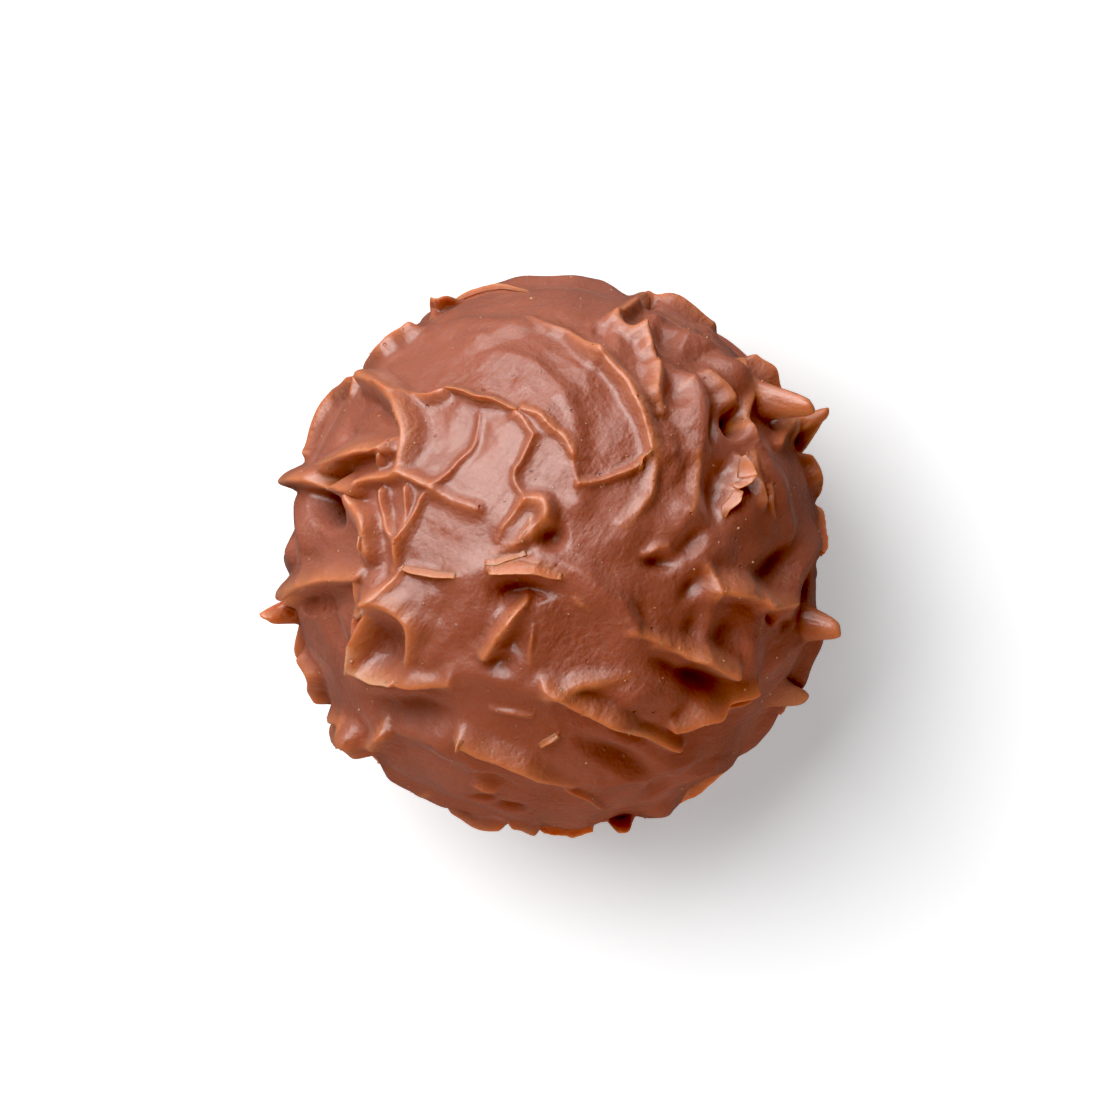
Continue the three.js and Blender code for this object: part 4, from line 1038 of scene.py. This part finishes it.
def make_chocolate(name, grain, tints, gloss):
    """Milk chocolate with its grain, tinted by the values that the points of its piece hold: painted shade in
    deep hollows, a painted glow of light through thin chocolate, and pale broken edges.
    """
    material, grained = grained_material(name, grain, CHOCOLATE, PATCH_DRIFT)
    tree = material.node_tree
    link = tree.links.new
    shader = tree.nodes["Principled BSDF"]
    colour = grained["Colour"]
    for value, tint, most in tints:
        held = add_node(tree, "ShaderNodeAttribute", attribute_name=value)
        part = add_node(tree, "ShaderNodeMapRange")
        part.inputs["To Max"].default_value = most
        link(held.outputs["Fac"], part.inputs["Value"])
        mixed = add_node(tree, "ShaderNodeMix", data_type="RGBA")
        mixed.inputs[7].default_value = tint
        link(part.outputs["Result"], mixed.inputs[0])
        link(colour, mixed.inputs[6])
        colour = mixed.outputs[2]
    link(colour, shader.inputs["Base Color"])
    bump = add_node(tree, "ShaderNodeBump")
    set_inputs(bump, {"Strength": 1.0, "Distance": GRAIN_DEPTH})
    link(grained["Height"], bump.inputs["Height"])
    link(bump.outputs["Normal"], shader.inputs["Normal"])
    set_inputs(shader, CHOCOLATE_FINISH)
    shader.inputs["Coat Weight"].default_value = gloss
    return material


def dull_hollows(material, gloss):
    """Takes the gloss off a material where the points of its piece are deep."""
    tree = material.node_tree
    link = tree.links.new
    shader = tree.nodes["Principled BSDF"].inputs
    deep = add_node(tree, "ShaderNodeAttribute", attribute_name="deep").outputs["Fac"]
    dulled = add_node(tree, "ShaderNodeMix", data_type="FLOAT")
    dulled.inputs[3].default_value = 1.0
    link(deep, dulled.inputs[0])
    link(shader["Roughness"].links[0].from_socket, dulled.inputs[2])
    link(dulled.outputs[0], shader["Roughness"])
    coat = add_node(tree, "ShaderNodeMapRange")
    set_inputs(coat, {"To Min": gloss, "To Max": 0})
    link(deep, coat.inputs["Value"])
    link(coat.outputs["Result"], shader["Coat Weight"])


def make_crumb_chocolate(grain):
    material, grained = grained_material("milk_chocolate_crumbs", grain, BROKEN_CHOCOLATE, CRUMB_DRIFT)
    tree = material.node_tree
    tree.links.new(grained["Colour"], tree.nodes["Principled BSDF"].inputs["Base Color"])
    return material


def make_stage():
    mesh = bpy.data.meshes.new("table_top")
    corners = [(-1, -1), (1, -1), (1, 1), (-1, 1)]
    mesh.from_pydata([(x * TABLE_HALF, y * TABLE_HALF, 0) for x, y in corners], [], [(0, 1, 2, 3)])
    table = add_object("table_top", mesh)
    white = bpy.data.materials.new("white_table")
    white.use_nodes = True
    set_inputs(white.node_tree.nodes["Principled BSDF"], TABLE_FINISH)
    mesh.materials.append(white)
    table.visible_glossy = False
    return table


def make_softbox(name, side, power, place, mirrored, lit):
    """A softbox that is turned to the truffle's middle and lights some things alone."""
    lamp = bpy.data.lights.new(name, "AREA")
    lamp.shape = "SQUARE"
    lamp.size = side
    lamp.energy = power
    softbox = add_object(name, lamp)
    softbox.location = place
    softbox.rotation_euler = (Vector(LIGHT_TARGET) - Vector(place)).to_track_quat("-Z", "Y").to_euler()
    softbox.visible_glossy = mirrored
    receivers = bpy.data.collections.new("lit_by_" + name)
    for thing in lit:
        receivers.objects.link(thing)
    softbox.light_linking.receiver_collection = receivers


def make_lights(lit):
    for *softbox, target in SOFTBOXES:
        make_softbox(*softbox, lit[target])
    world = bpy.data.worlds.new("white_room")
    world.use_nodes = True
    set_inputs(world.node_tree.nodes["Background"], {"Color": (1, 1, 1, 1), "Strength": ROOM_LIGHT})
    bpy.context.scene.world = world
    world.cycles_visibility.glossy = False


def make_camera():
    lens = bpy.data.cameras.new("camera")
    lens.lens = lens.sensor_width * CAMERA_DISTANCE / FRAME_WIDTH
    lens.clip_start, lens.clip_end = CAMERA_CLIP
    camera = add_object("camera", lens)
    camera.location = (*CAMERA_SPOT, CENTRE_HEIGHT * MM + CAMERA_DISTANCE)
    bpy.context.scene.camera = camera


def deepen_blacks():
    """Gives the picture the photograph's contrast, with its darkest tones drawn down to black."""
    view = bpy.context.scene.view_settings
    view.view_transform = "Standard"
    view.use_curve_mapping = True
    view.curve_mapping.black_level = (BLACK_LEVEL,) * 3
    view.curve_mapping.update()


make_camera()
table = make_stage()
crags = all_crags()
grain = make_grain()
coating = make_coating(crags)
chocolate = make_chocolate("milk_chocolate", grain, COATING_TINTS, COATING_GLOSS)
dull_hollows(chocolate, COATING_GLOSS)
coating.data.materials.append(chocolate)
flakes = make_flakes(crags)
flakes.data.materials.append(make_chocolate("milk_chocolate_flakes", grain, FLAKE_TINTS, FLAKE_GLOSS))
crumbs = make_crumbs(coating, make_crumb_chocolate(grain))
make_lights({"truffle": (coating, flakes, crumbs), "table": (table,)})
deepen_blacks()

for piece in (coating, flakes, crumbs):
    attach(piece, "root")
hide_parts("truffle")
